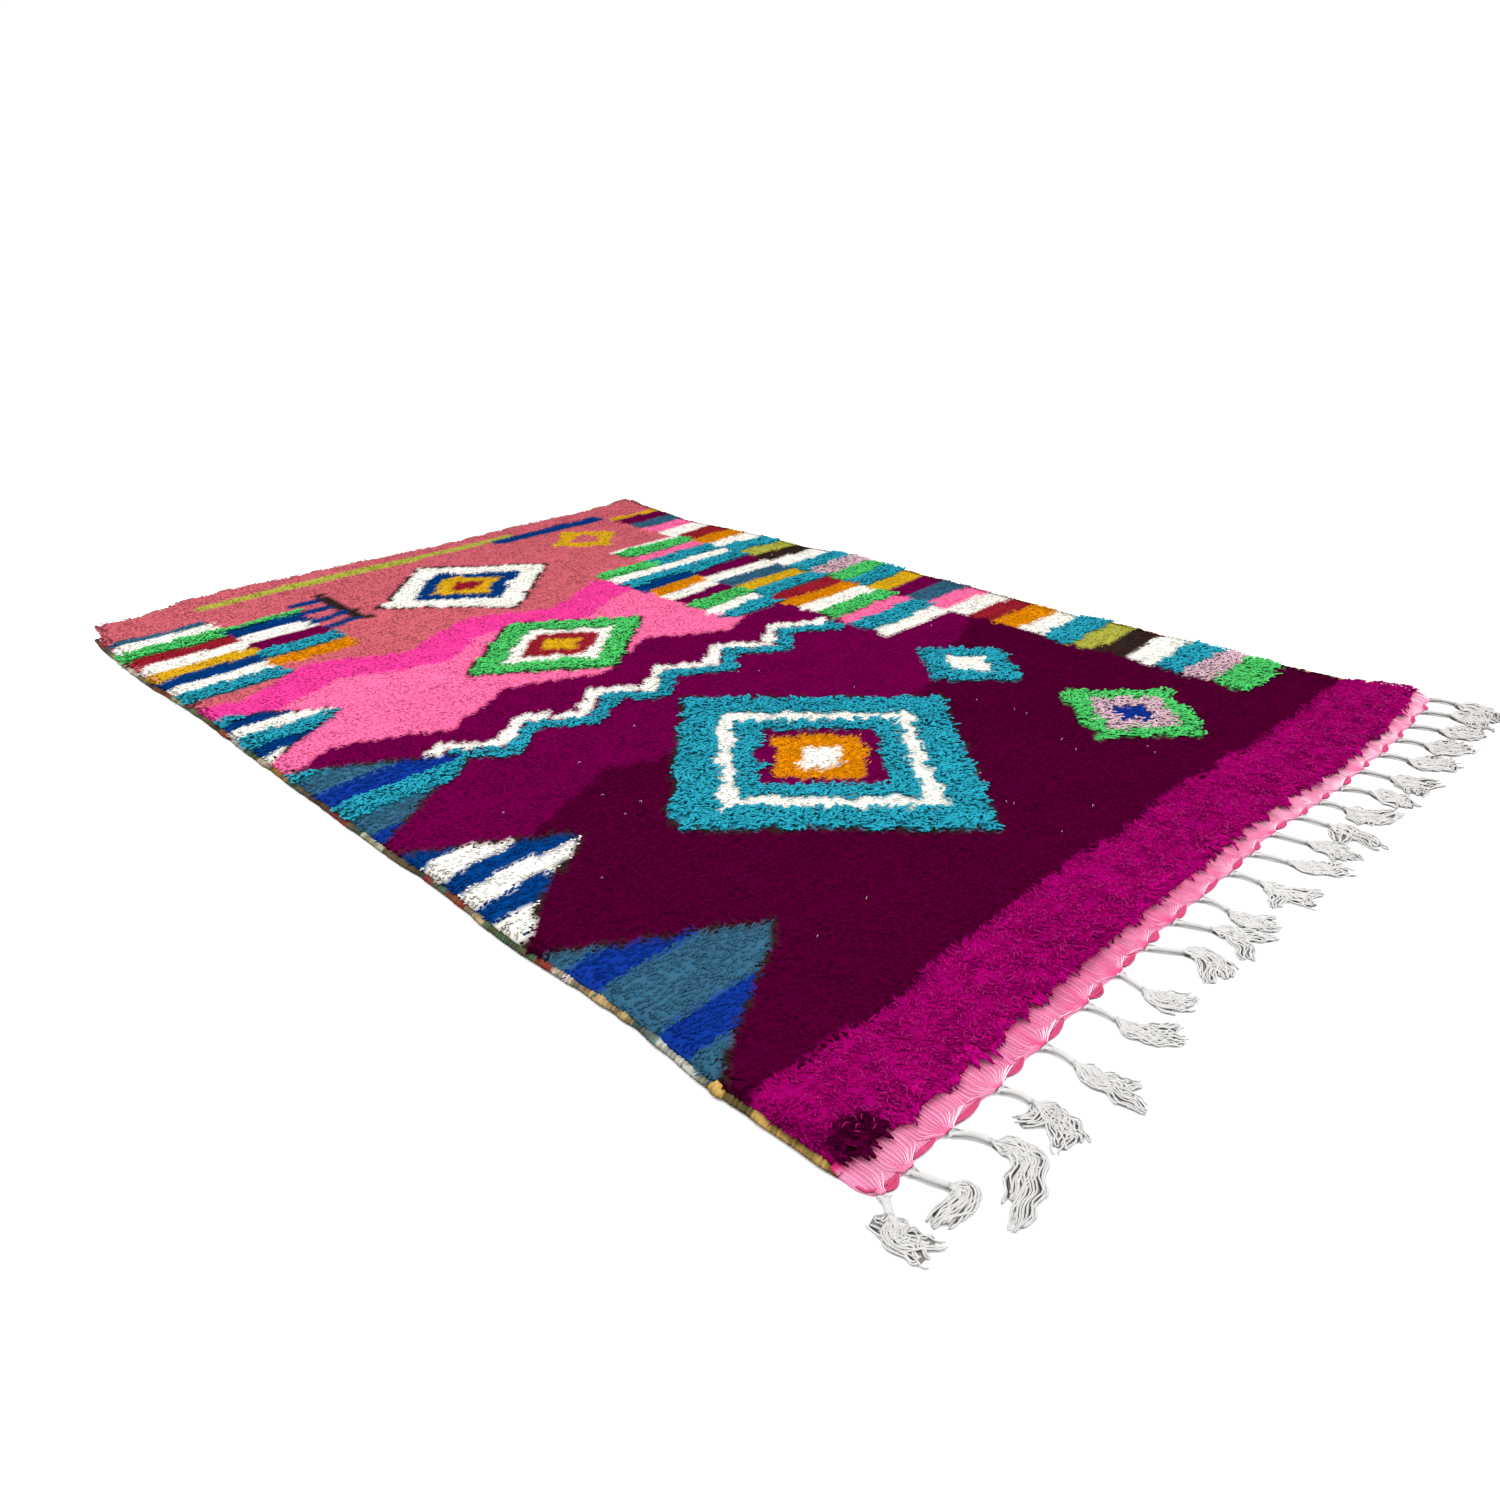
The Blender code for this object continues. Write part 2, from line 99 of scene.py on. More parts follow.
def foot_at(x, y):
    """The lift under a place, read a little further in when it is near a side."""
    return lift_at(min(max(x, -SAFE_SIDE), SAFE_SIDE), y)


Edge = namedtuple("Edge", "at out")


def edge_from(found):
    """An edge, from the rays that met it."""
    met = [(at, out) for at, out in found if out is not None]
    return Edge(*(np.array(row) for row in zip(*met)))


def side_edge(name, heading, low, high):
    """A side of the rug, looked at from outside: x for each y."""
    found = []
    for y in np.arange(low, high, STATION):
        level = lift_at(-SAFE_SIDE * heading, y) + CLOTH_LEVEL
        point = meets(name, (-heading * RAY_FROM, y, level), (heading, 0, 0))
        found.append((y, point and point.x))
    return edge_from(found)


def end_edge(name, heading, level, low, high, foot):
    """An end of the rug, looked at from outside: y for each x."""
    found = []
    for x in np.arange(low, high, STATION / 2):
        lifted = lift_at(x, foot) + level
        point = meets(name, (x, -heading * RAY_FROM, lifted), (0, heading, 0))
        found.append((x, point and point.y))
    return edge_from(found)


def along(edge, at):
    return np.interp(at, edge.at, edge.out)


pile_low, pile_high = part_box("pile_field")
strip_low, strip_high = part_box("kilim_end")
left_pile = side_edge("pile_field", 1, *PILE_SPAN)
right_pile = side_edge("pile_field", -1, *PILE_SPAN)
left_bound = side_edge("selvedge_left", 1, *BOUND_SPAN)
right_bound = side_edge("selvedge_right", -1, *BOUND_SPAN)
near_pile = end_edge("pile_field", 1, CLOTH_LEVEL, *NEAR_SPAN, 0.0)
far_pile = end_edge("pile_field", -1, CLOTH_LEVEL, *FAR_SPAN, FAR_FOOT)
strip_span = (strip_low.x + 0.001, strip_high.x - 0.001)
strip_rim = end_edge("kilim_end", 1, STRIP_LEVEL, *strip_span, 0.0)
weft_rim = end_edge("end_weft", 1, WEFT_LEVEL, *strip_span, 0.0)
width = float(np.mean(right_pile.out) - np.mean(left_pile.out))
length = float(np.mean(far_pile.out) - np.mean(near_pile.out))
print(f"the pile is {width:.3f} m wide and {length:.3f} m long")


def pile_top(x, y):
    found = meets("pile_field", (x, y, 0.1), (0, 0, -1))
    return found.z if found else 0.0


# %% [markdown]
# ## Arithmetic on sockets
#
# A material's pattern is arithmetic, but a node tree hides it in dozens of little boxes. The
# class below wraps one socket, so that an expression such as `0.6 + 0.4 * up` adds its Math
# nodes by itself. Numbers go through Math nodes. Colours go through Vector Math or Mix, because
# a Math node would turn them grey. Any other node comes from the one method `node`.

# %% Wrap a socket
class Wire:
    """A socket of a node tree, with arithmetic."""

    def __init__(self, tree, socket=None):
        self.tree = tree
        self.socket = socket

    def node(self, kind, settings=None, values=None, out=0):
        """Adds a node: its settings first, then the values or wires of its sockets."""
        made = self.tree.nodes.new("ShaderNode" + kind)
        for name, value in (settings or {}).items():
            setattr(made, name, value)
        live = [socket for socket in made.inputs if socket.enabled]
        for name, value in (values or {}).items():
            socket = live[name] if isinstance(name, int) else made.inputs[name]
            if isinstance(value, Wire):
                self.tree.links.new(value.socket, socket)
            else:
                socket.default_value = value
        shown = [socket for socket in made.outputs if socket.enabled]
        return Wire(self.tree, shown[out] if isinstance(out, int) else made.outputs[out])

    def maths(self, operation, *others):
        values = dict(enumerate((self, *others)))
        return self.node("Math", {"operation": operation}, values)

    def __add__(self, other):
        return self.maths("ADD", other)

    def __mul__(self, other):
        return self.maths("MULTIPLY", other)

    def __sub__(self, other):
        return self.maths("SUBTRACT", other)

    def __rsub__(self, other):
        return (self * -1.0) + other

    __radd__ = __add__
    __rmul__ = __mul__

    def ramp(self, low, high):
        """0 below low, 1 above high, and a smooth step between."""
        settings = {"interpolation_type": "SMOOTHSTEP"}
        return self.node("MapRange", settings, {"Value": self, "From Min": low, "From Max": high})

    def colour(self, rgba):
        """A plain colour."""
        plain = self.node("RGB")
        plain.socket.default_value = rgba
        return plain

    def scaled(self, share):
        """A colour or a vector, times a number."""
        return self.node("VectorMath", {"operation": "SCALE"}, {"Vector": self, "Scale": share})

    def plus(self, vector):
        """A vector, with another added, made one long."""
        added = self.node("VectorMath", {"operation": "ADD"}, {0: self, 1: vector})
        return added.node("VectorMath", {"operation": "NORMALIZE"}, {0: added})

    def towards(self, colour, share):
        """This colour, mixed with another."""
        settings = {"data_type": "RGBA", "clamp_factor": True}
        return self.node("Mix", settings, {0: share, 1: self, 2: colour})


# %% [markdown]
# ## Wool
#
# Wool has no gloss to speak of. It is a mat of dull fibres that catch a little light at a
# grazing angle, which Blender's sheen gives, and its colour is never even: a dye lot drifts
# from row to row, each yarn took the dye in its own way, and light that goes down between the
# yarns hardly comes back. So each wool mixes one dye with a drift over the rug, a tone for each
# yarn and a shadow at its foot. Both of those are attributes of the mesh, set when it is made.
# Light also soaks through a fuzzy yarn, so its far side is hardly darker than its lit side. The
# shader's normal is therefore turned part of the way up, which evens the light on a yarn out.

# %% Set out the dyes
Dye = namedtuple("Dye", "name red green blue nap")
DYES = (
    Dye("plum", 100, 0, 62, "velvet"),
    Dye("dark_plum", 71, 0, 40, "velvet"),
    Dye("rose", 192, 91, 102, "velvet"),
    Dye("pink", 239, 103, 153, "velvet"),
    Dye("hot_pink", 226, 57, 143, "velvet"),
    Dye("white", 236, 233, 223, "velvet"),
    Dye("turquoise", 39, 153, 175, "shag"),
    Dye("green", 76, 193, 101, "shag"),
    Dye("mauve", 206, 172, 183, "shag"),
    Dye("slate", 52, 97, 124, "sleek"),
    Dye("cobalt", 4, 59, 125, "sleek"),
    Dye("royal", 16, 52, 144, "sleek"),
    Dye("mustard", 202, 155, 24, "velvet"),
    Dye("orange", 220, 134, 7, "sleek"),
    Dye("straw", 164, 163, 64, "velvet"),
    Dye("brick", 139, 28, 41, "velvet"),
    Dye("brown", 46, 33, 30, "velvet"),
    Dye("magenta", 165, 3, 106, "band"),
    Dye("dusk", 78, 0, 46, "band"),
)
DYE_NAMES = [dye.name for dye in DYES]


def linear(byte):
    """A screen colour's 0 to 255 as the amount of light that shaders count in."""
    share = byte / 255
    return share / 12.92 if share <= 0.04045 else ((share + 0.055) / 1.055) ** 2.4


def colour_of(red, green, blue):
    return (linear(red), linear(green), linear(blue), 1.0)


print(len(DYES), "dyes")

# %% Dye the wool
DRIFT_SCALE = 5.0  # to the metre: the dye's drift over the rug
MOTTLE_SCALE = 42.0  # to the metre: soft lighter and darker places
FUZZ_SCALE = 420.0  # to the metre: the loose fibres


def plain_fabric(name, roughness=0.95, sheen=0.25, tint=(1.0, 1.0, 1.0, 1.0)):
    """A new material, its shader and a wire to start from. Sheen is the same all over."""
    material = bpy.data.materials.new(name)
    material.use_nodes = True
    shader = material.node_tree.nodes["Principled BSDF"]
    shader.inputs["Roughness"].default_value = roughness
    shader.inputs["Specular IOR Level"].default_value = 0.0
    shader.inputs["Sheen Weight"].default_value = sheen
    shader.inputs["Sheen Roughness"].default_value = 0.55
    shader.inputs["Sheen Tint"].default_value = tint
    return material, shader, Wire(material.node_tree)


def place_in(wire):
    return wire.node("TexCoord", out="Object")


def marked(wire, name):
    """The number that each vertex has under a name."""
    return wire.node("Attribute", {"attribute_name": name}, out="Fac")


def split(wire):
    """The x, y and z of a vector."""
    outputs = wire.node("SeparateXYZ", values={0: wire}).socket.node.outputs
    return [Wire(wire.tree, socket) for socket in outputs]


def facing_up(wire, low, high):
    """How far up a surface faces, from 0 to 1."""
    return split(wire.node("NewGeometry", out="Normal"))[2].ramp(low, high)


def stripes(along_them):
    """A wave from 0 to 1, once for every 1 of its input."""
    return (along_them * math.tau).maths("SINE") * 0.5 + 0.5


def noise_on(wire, place, scale, detail=2.0, roughness=0.5):
    values = {"Vector": place, "Scale": scale, "Detail": detail, "Roughness": roughness}
    return wire.node("TexNoise", values=values, out=0)


def set_relief(wire, shader, height, distance, strength, facing=None):
    """Feeds a height, worth that many metres, to the shader's normal."""
    values = {"Height": height, "Distance": distance, "Strength": strength}
    if facing:
        values["Normal"] = facing
    normal = wire.node("Bump", values=values)
    wire.tree.links.new(normal.socket, shader.inputs["Normal"])


def show_colour(wire, shader, colour):
    wire.tree.links.new(colour.socket, shader.inputs["Base Color"])


def dyed_wool(dye):
    """The wool of one dye, for its cut yarns."""
    base = colour_of(dye.red, dye.green, dye.blue)
    material, shader, wire = plain_fabric("wool_" + dye.name, sheen=0.06, tint=base)
    place = place_in(wire)
    drift = noise_on(wire, place, DRIFT_SCALE)
    mottle = noise_on(wire, place, MOTTLE_SCALE, detail=1.0)
    fuzz = noise_on(wire, place, FUZZ_SCALE)
    look = LOOKS[dye.nap]
    # painted shade: each yarn end darkens towards its foot, down to the look's foot share of its dye, for
    # the shadow between the yarns
    depth = look.foot + (1.0 - look.foot) * marked(wire, "up")
    cloudy = 0.30 * (drift - 0.5) + look.cloud * (mottle - 0.5) + 0.10 * (fuzz - 0.5)
    value = depth * (1.0 + look.tones * (marked(wire, "tone") - 0.5) + cloudy)
    show_colour(wire, shader, wire.colour(base).scaled(value))
    own_way = wire.node("NewGeometry", out="Normal").scaled(1.0 - look.soft)
    set_relief(wire, shader, fuzz, 0.0006, 0.5, facing=own_way.plus((0.0, 0.0, look.soft)))
    return material


# A look: foot, the painted shade at a yarn's foot; tones, how much yarns differ in tone; cloud, the soft
# mottle; ground, the painted shade of the ground cloth between a dye's yarns; soft, how far the shader's
# normal is turned up
Look = namedtuple("Look", "foot tones cloud ground soft")
LOOKS = {
    "velvet": Look(0.90, 0.14, 0.18, 1.00, 0.80),
    "sleek": Look(0.84, 0.18, 0.14, 1.00, 0.60),
    "shag": Look(0.64, 0.34, 0.16, 0.78, 0.35),
    "band": Look(0.86, 0.16, 1.20, 0.80, 0.65),
}
wools = {dye.name: dyed_wool(dye) for dye in DYES}
print("dyed", ", ".join(wools))

# %% [markdown]
# ## The pattern
#
# Weavers carry a pattern in their heads as knots to be counted, so every edge steps from knot
# to knot. Here a chart holds one row for each knot of the field, with its place and its dye,
# and the motifs are dyed over it in turn, as plain rules on x and y: lozenges, a zigzag, rows
# of bars, a comb and half lozenges along a side. These belong to no one: they are the common
# stock of flat and knotted weaving. A little wobble keeps their sides as uneven as a hand does.

# %% Count out the knots
KNOT_WIDE = 0.0100
KNOT_LONG = 0.0108
WOBBLE = 0.008
WOBBLE_SIZE = 0.13
RIM_ROOM = 0.003  # how far the outermost knots are tied from the edge
HEM_ROOM = 0.008

columns = np.arange(-0.86, 0.86, KNOT_WIDE)
rows = np.arange(-1.19, 1.21, KNOT_LONG)
knot_x, knot_y = (grid.ravel() for grid in np.meshgrid(columns, rows))
knot_row = np.repeat(np.arange(len(rows)), len(columns))
tied = (
    (knot_x > along(left_pile, knot_y) + RIM_ROOM)
    & (knot_x < along(right_pile, knot_y) - RIM_ROOM)
    & (knot_y > along(near_pile, knot_x) + RIM_ROOM)
    & (knot_y < along(far_pile, knot_x) - HEM_ROOM)
)
knot_x, knot_y, knot_row = knot_x[tied], knot_y[tied], knot_row[tied]
print(len(knot_x), "knots are tied")


def wobbled(x, y):
    moved = [noise.noise_vector((a / WOBBLE_SIZE, b / WOBBLE_SIZE, 0.0)) for a, b in zip(x, y)]
    return x + WOBBLE * np.array([m.x for m in moved]), y + WOBBLE * np.array([m.y for m in moved])


def zigzag(at, pitch):
    """A wave of straight lines, from -1 to 1."""
    turns = at / pitch
    return 4 * np.abs(turns - np.floor(turns + 0.5)) - 1


def cycle(at, pitch, dyes):
    """The dye of each bar, for bars of one pitch that repeat a list of dyes."""
    return np.array([DYE_NAMES.index(dye) for dye in dyes])[(at // pitch).astype(int) % len(dyes)]


# %% Lay out the motifs
BAND_REACH = 0.128  # how far the shaggy band runs up from the strip
SLIP_BLOCK = 0.09  # the weaver miscounts a knot about every so often along a row
PATCH_X, PATCH_UP, PATCH_SIZE = -0.774, 0.014, 0.036  # where plum yarn was used up in the band

Lozenge = namedtuple("Lozenge", "x y half_width half_length rings")
Ring = namedtuple("Ring", "size dye")
LOZENGES = (
    Lozenge(-0.16, -0.52, 0.35, 0.37, (
        Ring(1.00, "brown"), Ring(0.965, "turquoise"), Ring(0.72, "white"), Ring(0.58, "turquoise"),
        Ring(0.44, "plum"), Ring(0.32, "orange"), Ring(0.15, "white"),
    )),
    Lozenge(-0.14, 0.26, 0.25, 0.20, (
        Ring(1.00, "brown"), Ring(0.94, "green"), Ring(0.66, "white"), Ring(0.46, "brick"),
        Ring(0.24, "mustard"),
    )),
    Lozenge(-0.05, 0.78, 0.25, 0.24, (
        Ring(1.00, "brown"), Ring(0.94, "white"), Ring(0.62, "cobalt"), Ring(0.40, "mustard"),
        Ring(0.18, "brick"),
    )),
    Lozenge(0.36, -0.82, 0.14, 0.14, (Ring(1.0, "green"), Ring(0.66, "mauve"), Ring(0.34, "royal"))),
    Lozenge(0.36, -0.46, 0.11, 0.13, (Ring(1.0, "turquoise"), Ring(0.52, "white"))),
    Lozenge(0.42, 0.90, 0.11, 0.11, (Ring(1.0, "mustard"), Ring(0.46, "rose"))),
)

HalfLozenge = namedtuple("HalfLozenge", "y reach half_length bar dyes")
HALF_LOZENGES = (
    HalfLozenge(-0.80, 0.27, 0.17, 0.060, ("slate", "royal", "slate")),
    HalfLozenge(-0.43, 0.23, 0.16, 0.050, ("cobalt", "white")),
    HalfLozenge(-0.06, 0.27, 0.17, 0.064, ("royal", "slate", "turquoise")),
    HalfLozenge(0.30, 0.20, 0.14, 0.045, ("white", "cobalt", "turquoise")),
)

Ladder = namedtuple("Ladder", "left right low high bar dyes")
LADDERS = (
    Ladder(-0.84, -0.62, 0.54, 1.01, 0.055,
           ("turquoise", "white", "cobalt", "mustard", "white", "brick", "green", "white", "slate")),
    Ladder(-0.62, -0.44, 0.60, 0.92, 0.060,
           ("orange", "turquoise", "plum", "white", "cobalt", "green", "mustard")),
    Ladder(0.60, 0.84, -0.93, 1.02, 0.064,
           ("green", "mauve", "turquoise", "white", "brown", "straw", "turquoise", "white",
            "orange", "brick", "white", "pink", "slate", "plum", "mustard", "turquoise")),
    Ladder(0.38, 0.61, -0.24, 0.74, 0.056,
           ("white", "turquoise", "pink", "green", "white", "orange", "brick", "turquoise",
            "mustard", "slate", "white", "plum", "turquoise")),
    Ladder(0.22, 0.39, 0.10, 0.60, 0.050,
           ("turquoise", "white", "green", "plum", "white", "orange", "cobalt")),
    Ladder(-0.60, 0.30, 1.075, 1.115, 0.1, ("straw",)),
    Ladder(0.22, 0.58, 1.035, 1.085, 0.1, ("cobalt",)),
)

Stroke = namedtuple("Stroke", "left right low high dye")
COMB = (
    Stroke(-0.36, -0.33, 0.74, 1.00, "brown"),
    *(
        Stroke(-0.44, -0.36, 0.745 + 0.065 * tooth, 0.775 + 0.065 * tooth, "cobalt")
        for tooth in range(4)
    ),
)
ZIGZAG_LINES = ((-0.035, "white"), (-0.078, "turquoise"))


def slipped(x, y):
    """The places of knots once each stretch of a row is off by about a knot."""
    dice = np.random.default_rng(21)
    slips = dice.normal(0.0, 0.55, (260, 24)) * KNOT_WIDE
    row = np.floor((y + 1.3) / KNOT_LONG).astype(int)
    block = np.floor((x + 1.0 + 0.37 * SLIP_BLOCK * (row % 5)) / SLIP_BLOCK).astype(int)
    return x + slips[row, block], y


def draw_field(x, y):
    """The dye of every knot at x, y."""
    chart = np.full(len(x), DYE_NAMES.index("rose"))

    def dye(inside, name):
        chart[inside] = DYE_NAMES.index(name)

    hot = 0.52 + 0.045 * zigzag(x, 0.38)
    dye(y < hot, "hot_pink")
    dye(y < hot - 0.12, "pink")
    dye(y < 0.10 + 0.045 * zigzag(x + 0.18, 0.36), "plum")
    dye(y < -0.40 + 0.12 * zigzag(x - 0.10, 1.10), "dark_plum")
    across = (x > -0.66) & (x < 0.36)
    for line, name in ZIGZAG_LINES:
        dye(across & (np.abs(y - line - 0.035 * zigzag(x, 0.17)) < 0.017), name)
    for ladder in LADDERS:
        inside = (x > ladder.left) & (x < ladder.right) & (y > ladder.low) & (y < ladder.high)
        chart[inside] = cycle(y - ladder.low, ladder.bar, ladder.dyes)[inside]
    for shape in HALF_LOZENGES:
        reach = (x + 0.84) / shape.reach + np.abs(y - shape.y) / shape.half_length
        dye(reach < 1.05, "brown")
        chart[reach < 1] = cycle(y - shape.y, shape.bar, shape.dyes)[reach < 1]
    for shape in LOZENGES:
        reach = np.abs(x - shape.x) / shape.half_width + np.abs(y - shape.y) / shape.half_length
        for ring in shape.rings:
            dye(reach < ring.size, ring.dye)
    for stroke in COMB:
        inside = (x > stroke.left) & (x < stroke.right) & (y > stroke.low) & (y < stroke.high)
        dye(inside, stroke.dye)
    return chart


def draw_rug(x, y):
    """The field, and the plain band that ends it."""
    moved_x, moved_y = slipped(*wobbled(x, y))
    chart = draw_field(moved_x, moved_y)
    up_from_strip = y - along(near_pile, x)
    chart[up_from_strip < BAND_REACH] = DYE_NAMES.index("magenta")
    patch = np.hypot(moved_x - PATCH_X, (up_from_strip - PATCH_UP) * 1.2)
    chart[patch < PATCH_SIZE] = DYE_NAMES.index("dusk")
    return chart


knot_dye = draw_rug(knot_x, knot_y)
print({name: int((knot_dye == at).sum()) for at, name in enumerate(DYE_NAMES)})

# %% [markdown]
# ## The ground cloth
#
# Under the pile is one firm cloth of warps, wefts and the bottoms of the knots. From above it
# shows only as colour and shadow between the yarns, so it can be a coarse closed sheet that
# follows the solid's edges, lumps and wave. A grid and one extrusion make it. Short, dense pile
# hides its own foot, so the sheet stands high there, and it sinks under long pile. Beside the
# two long edges it is even and a little lower, so that no yarn is rooted above it.

# %% Weave the ground cloth
Nap = namedtuple("Nap", "sunk tall ends wide reach sideways stray curl clump lump steps blunt")
NAPS = {
    "velvet": Nap(0.0017, 0.0026, 3, 0.0080, 0.0044, 0.0, 0.0020, 0.0, 0.10, 0.0006, 0, 0.0),
    "sleek": Nap(0.0026, 0.0044, 4, 0.0062, 0.0014, 0.0072, 0.0022, 0.0, 0.05, 0.0010, 0, 0.0),
    "shag": Nap(0.0024, 0.0062, 4, 0.0058, 0.0056, 0.0, 0.0064, 0.0036, 0.20, 0.0018, 2, 0.80),
    "band": Nap(0.0028, 0.0046, 9, 0.0052, 0.0034, 0.0, 0.0034, 0.0, 0.34, 0.0050, 0, 0.0),
}
LUMP_SIZE = 0.034
SIDE_EASE = 0.012  # beside the two long edges the pile is even, and lower by the drop
SIDE_DROP = 0.0032
CELLS_ACROSS = 104
CELLS_ALONG = 150
RIM_CELL = 0.004
RIM_HEIGHT = 0.0065
HEM = 0.007
HEM_HEIGHT = 0.0045
FLOOR_ROOM = 0.0004
HEM_COLOUR = (150, 150, 120)


def lumps_at(x, y):
    """How much the pile stands high or low, from place to place."""
    return np.array([noise.noise((a / LUMP_SIZE, b / LUMP_SIZE, 6.0)) for a, b in zip(x, y)])


def relief_at(x, y, lump):
    """How much higher than its solid the pile stands."""
    from_side = np.minimum(x - along(left_pile, y), along(right_pile, y) - x)
    inside = np.clip(from_side / SIDE_EASE, 0, 1)
    return lump * lumps_at(x, y) * inside - SIDE_DROP * (1 - inside)


def eased(share, cell, span):
    """A share of a span whose first and last cells are narrow ones of a set size."""
    inner = (share - 0.5) * (span - 2 * cell) / span + 0.5
    return 0.0 if share < 1e-6 else 1.0 if share > 1 - 1e-6 else inner


def on_rug(u, v):
    """A place on the rug for shares of its width and length."""
    level_x = -width / 2 + u * width
    near, far = along(near_pile, level_x), along(far_pile, level_x)
    y = near + (far - near) * v
    x = along(left_pile, y) + (along(right_pile, y) - along(left_pile, y)) * u
    return float(x), float(y)


def sheet_block(across, lengthwise):
    """A closed block of cells: a grid, extruded once. Its z counts layers, 0 and 1."""
    block = bmesh.new()
    bmesh.ops.create_grid(block, x_segments=across, y_segments=lengthwise, size=0.5)
    bmesh.ops.translate(block, vec=(0.5, 0.5, 0.0), verts=block.verts)
    whole = [*block.faces, *block.edges, *block.verts]
    grown = bmesh.ops.extrude_face_region(block, geom=whole)["geom"]
    raised = [item for item in grown if isinstance(item, bmesh.types.BMVert)]
    bmesh.ops.translate(block, vec=(0.0, 0.0, 1.0), verts=raised)
    bmesh.ops.recalc_face_normals(block, faces=block.faces)
    return block


def piece_from(name, block, material):
    """Turns a finished bmesh into a piece that rides on the rug."""
    mesh = bpy.data.meshes.new(name)
    block.to_mesh(mesh)
    block.free()
    return piece_of(name, mesh, material)


def piece_of(name, mesh, material):
    mesh.shade_smooth()
    mesh.materials.append(material)
    piece = bpy.data.objects.new(name, mesh)
    bpy.context.scene.collection.objects.link(piece)
    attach(piece, "root")
    return piece


def mark(mesh, name, values):
    """Gives each vertex a number, which a material reads by name."""
    layer = mesh.attributes.new(name, "FLOAT", "POINT")
    layer.data.foreach_set("value", values.astype(np.float32))


def mark_colour(mesh, name, colours):
    layer = mesh.color_attributes.new(name, "FLOAT_COLOR", "POINT")
    layer.data.foreach_set("color", colours.astype(np.float32).ravel())


def points_in(mesh):
    """Where a mesh's vertices are, one row for each."""
    points = np.empty(len(mesh.vertices) * 3, np.float32)
    mesh.vertices.foreach_get("co", points)
    return points.reshape(-1, 3)


def ground_wool():
    """The ground between the yarns, in the dye that its knots are tied in, with a painted shade."""
    material, shader, wire = plain_fabric("ground_wool", sheen=0.0)
    place = place_in(wire)
    dyed = wire.node("Attribute", {"attribute_name": "dyed"}, out="Color")
    grain = noise_on(wire, place, 230.0, detail=3.0, roughness=0.6)
    drift = noise_on(wire, place, DRIFT_SCALE)
    # painted shade between the yarns: the ground shows at about 0.6 of its dye, with a random grain and
    # drift
    show_colour(wire, shader, dyed.scaled(0.60 + 0.32 * grain + 0.20 * drift))
    set_relief(wire, shader, grain, 0.0015, 0.6)
    return material


def make_ground():
    block = sheet_block(CELLS_ACROSS, CELLS_ALONG)
    places = {}
    for corner in block.verts:
        u = eased(corner.co.x, RIM_CELL, width)
        v = eased(corner.co.y, RIM_CELL, length)
        places[corner.index] = (*on_rug(u, v), u, v, round(corner.co.z))
    keys = sorted(places)
    x = np.array([places[key][0] for key in keys])
    y = np.array([places[key][1] for key in keys])
    chart = draw_rug(x, y)
    hem = y > along(far_pile, x) - HEM
    dyed = np.array([colour_of(d.red, d.green, d.blue) for d in DYES])[chart]
    # painted shade: under shag and band the ground's dye is darkened by the look's ground share
    dyed[:, :3] *= np.array([LOOKS[d.nap].ground for d in DYES])[chart][:, None]
    dyed[hem] = colour_of(*HEM_COLOUR)
    depth = np.array([NAPS[d.nap].sunk for d in DYES])[chart]
    depth -= relief_at(x, y, np.array([NAPS[d.nap].lump for d in DYES])[chart])
    for corner, key, sink, is_hem in zip(block.verts, keys, depth, hem):
        px, py, u, v, layer = places[key]
        foot = foot_at(px, py) + FLOOR_ROOM
        if layer == 0:
            pz = foot
        elif is_hem:
            pz = foot + HEM_HEIGHT
        elif u in (0.0, 1.0) or v == 0.0:
            pz = foot + RIM_HEIGHT
        else:
            pz = max(pile_top(px, py) - sink, foot + RIM_HEIGHT)
        corner.co = (px, py, pz)
    ground = piece_from("ground_cloth", block, ground_wool())
    mark_colour(ground.data, "dyed", dyed)
    return ground


ground = make_ground()
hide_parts("pile_field")
print("the ground cloth has", len(ground.data.polygons), "faces")

# %% [markdown]
# ## The pile
#
# A particle system or hair would draw this pile, but neither leaves a mesh that can be used
# elsewhere. So one yarn end is modelled, and a copy of it is joined on at every root: the copy
# is widened, leaned and coloured by arrays that hold one row for each root. Dense pile is a
# closed three-sided spike, of four faces. Long pile is a three-sided yarn in two steps, blunt at
# its tip. Neighbours share the way they lean, which a noise over the rug gives, and everything
# leans towards the fringe, as pile does. Each dye is a piece of its own. Where the plain band
# ends, its yarns gather in locks that hang out over the strip.

# %% Model one yarn end
def yarn_end(steps, blunt):
    """Points and triangles of a closed yarn end, one high and one wide. No steps is a spike."""
    block = bmesh.new()
    if steps == 0:
        bmesh.ops.create_cone(
            block, cap_ends=True, segments=3, radius1=0.5, radius2=0.0, depth=1.0
        )
        bmesh.ops.translate(block, vec=(0.0, 0.0, 0.5), verts=block.verts)
    else:
        bmesh.ops.create_circle(block, cap_ends=True, segments=3, radius=0.5)
        layer = [*block.faces, *block.edges, *block.verts]
        for step in range(steps):
            layer = bmesh.ops.extrude_face_region(block, geom=layer)["geom"]
            raised = [item for item in layer if isinstance(item, bmesh.types.BMVert)]
            bmesh.ops.translate(block, vec=(0.0, 0.0, 1.0 / steps), verts=raised)
        bmesh.ops.scale(block, vec=(blunt, blunt, 1.0), verts=raised)
    bmesh.ops.triangulate(block, faces=block.faces)
    bmesh.ops.recalc_face_normals(block, faces=block.faces)
    points = np.array([corner.co[:] for corner in block.verts])
    faces = np.array([[corner.index for corner in face.verts] for face in block.faces])
    block.free()
    return points, faces


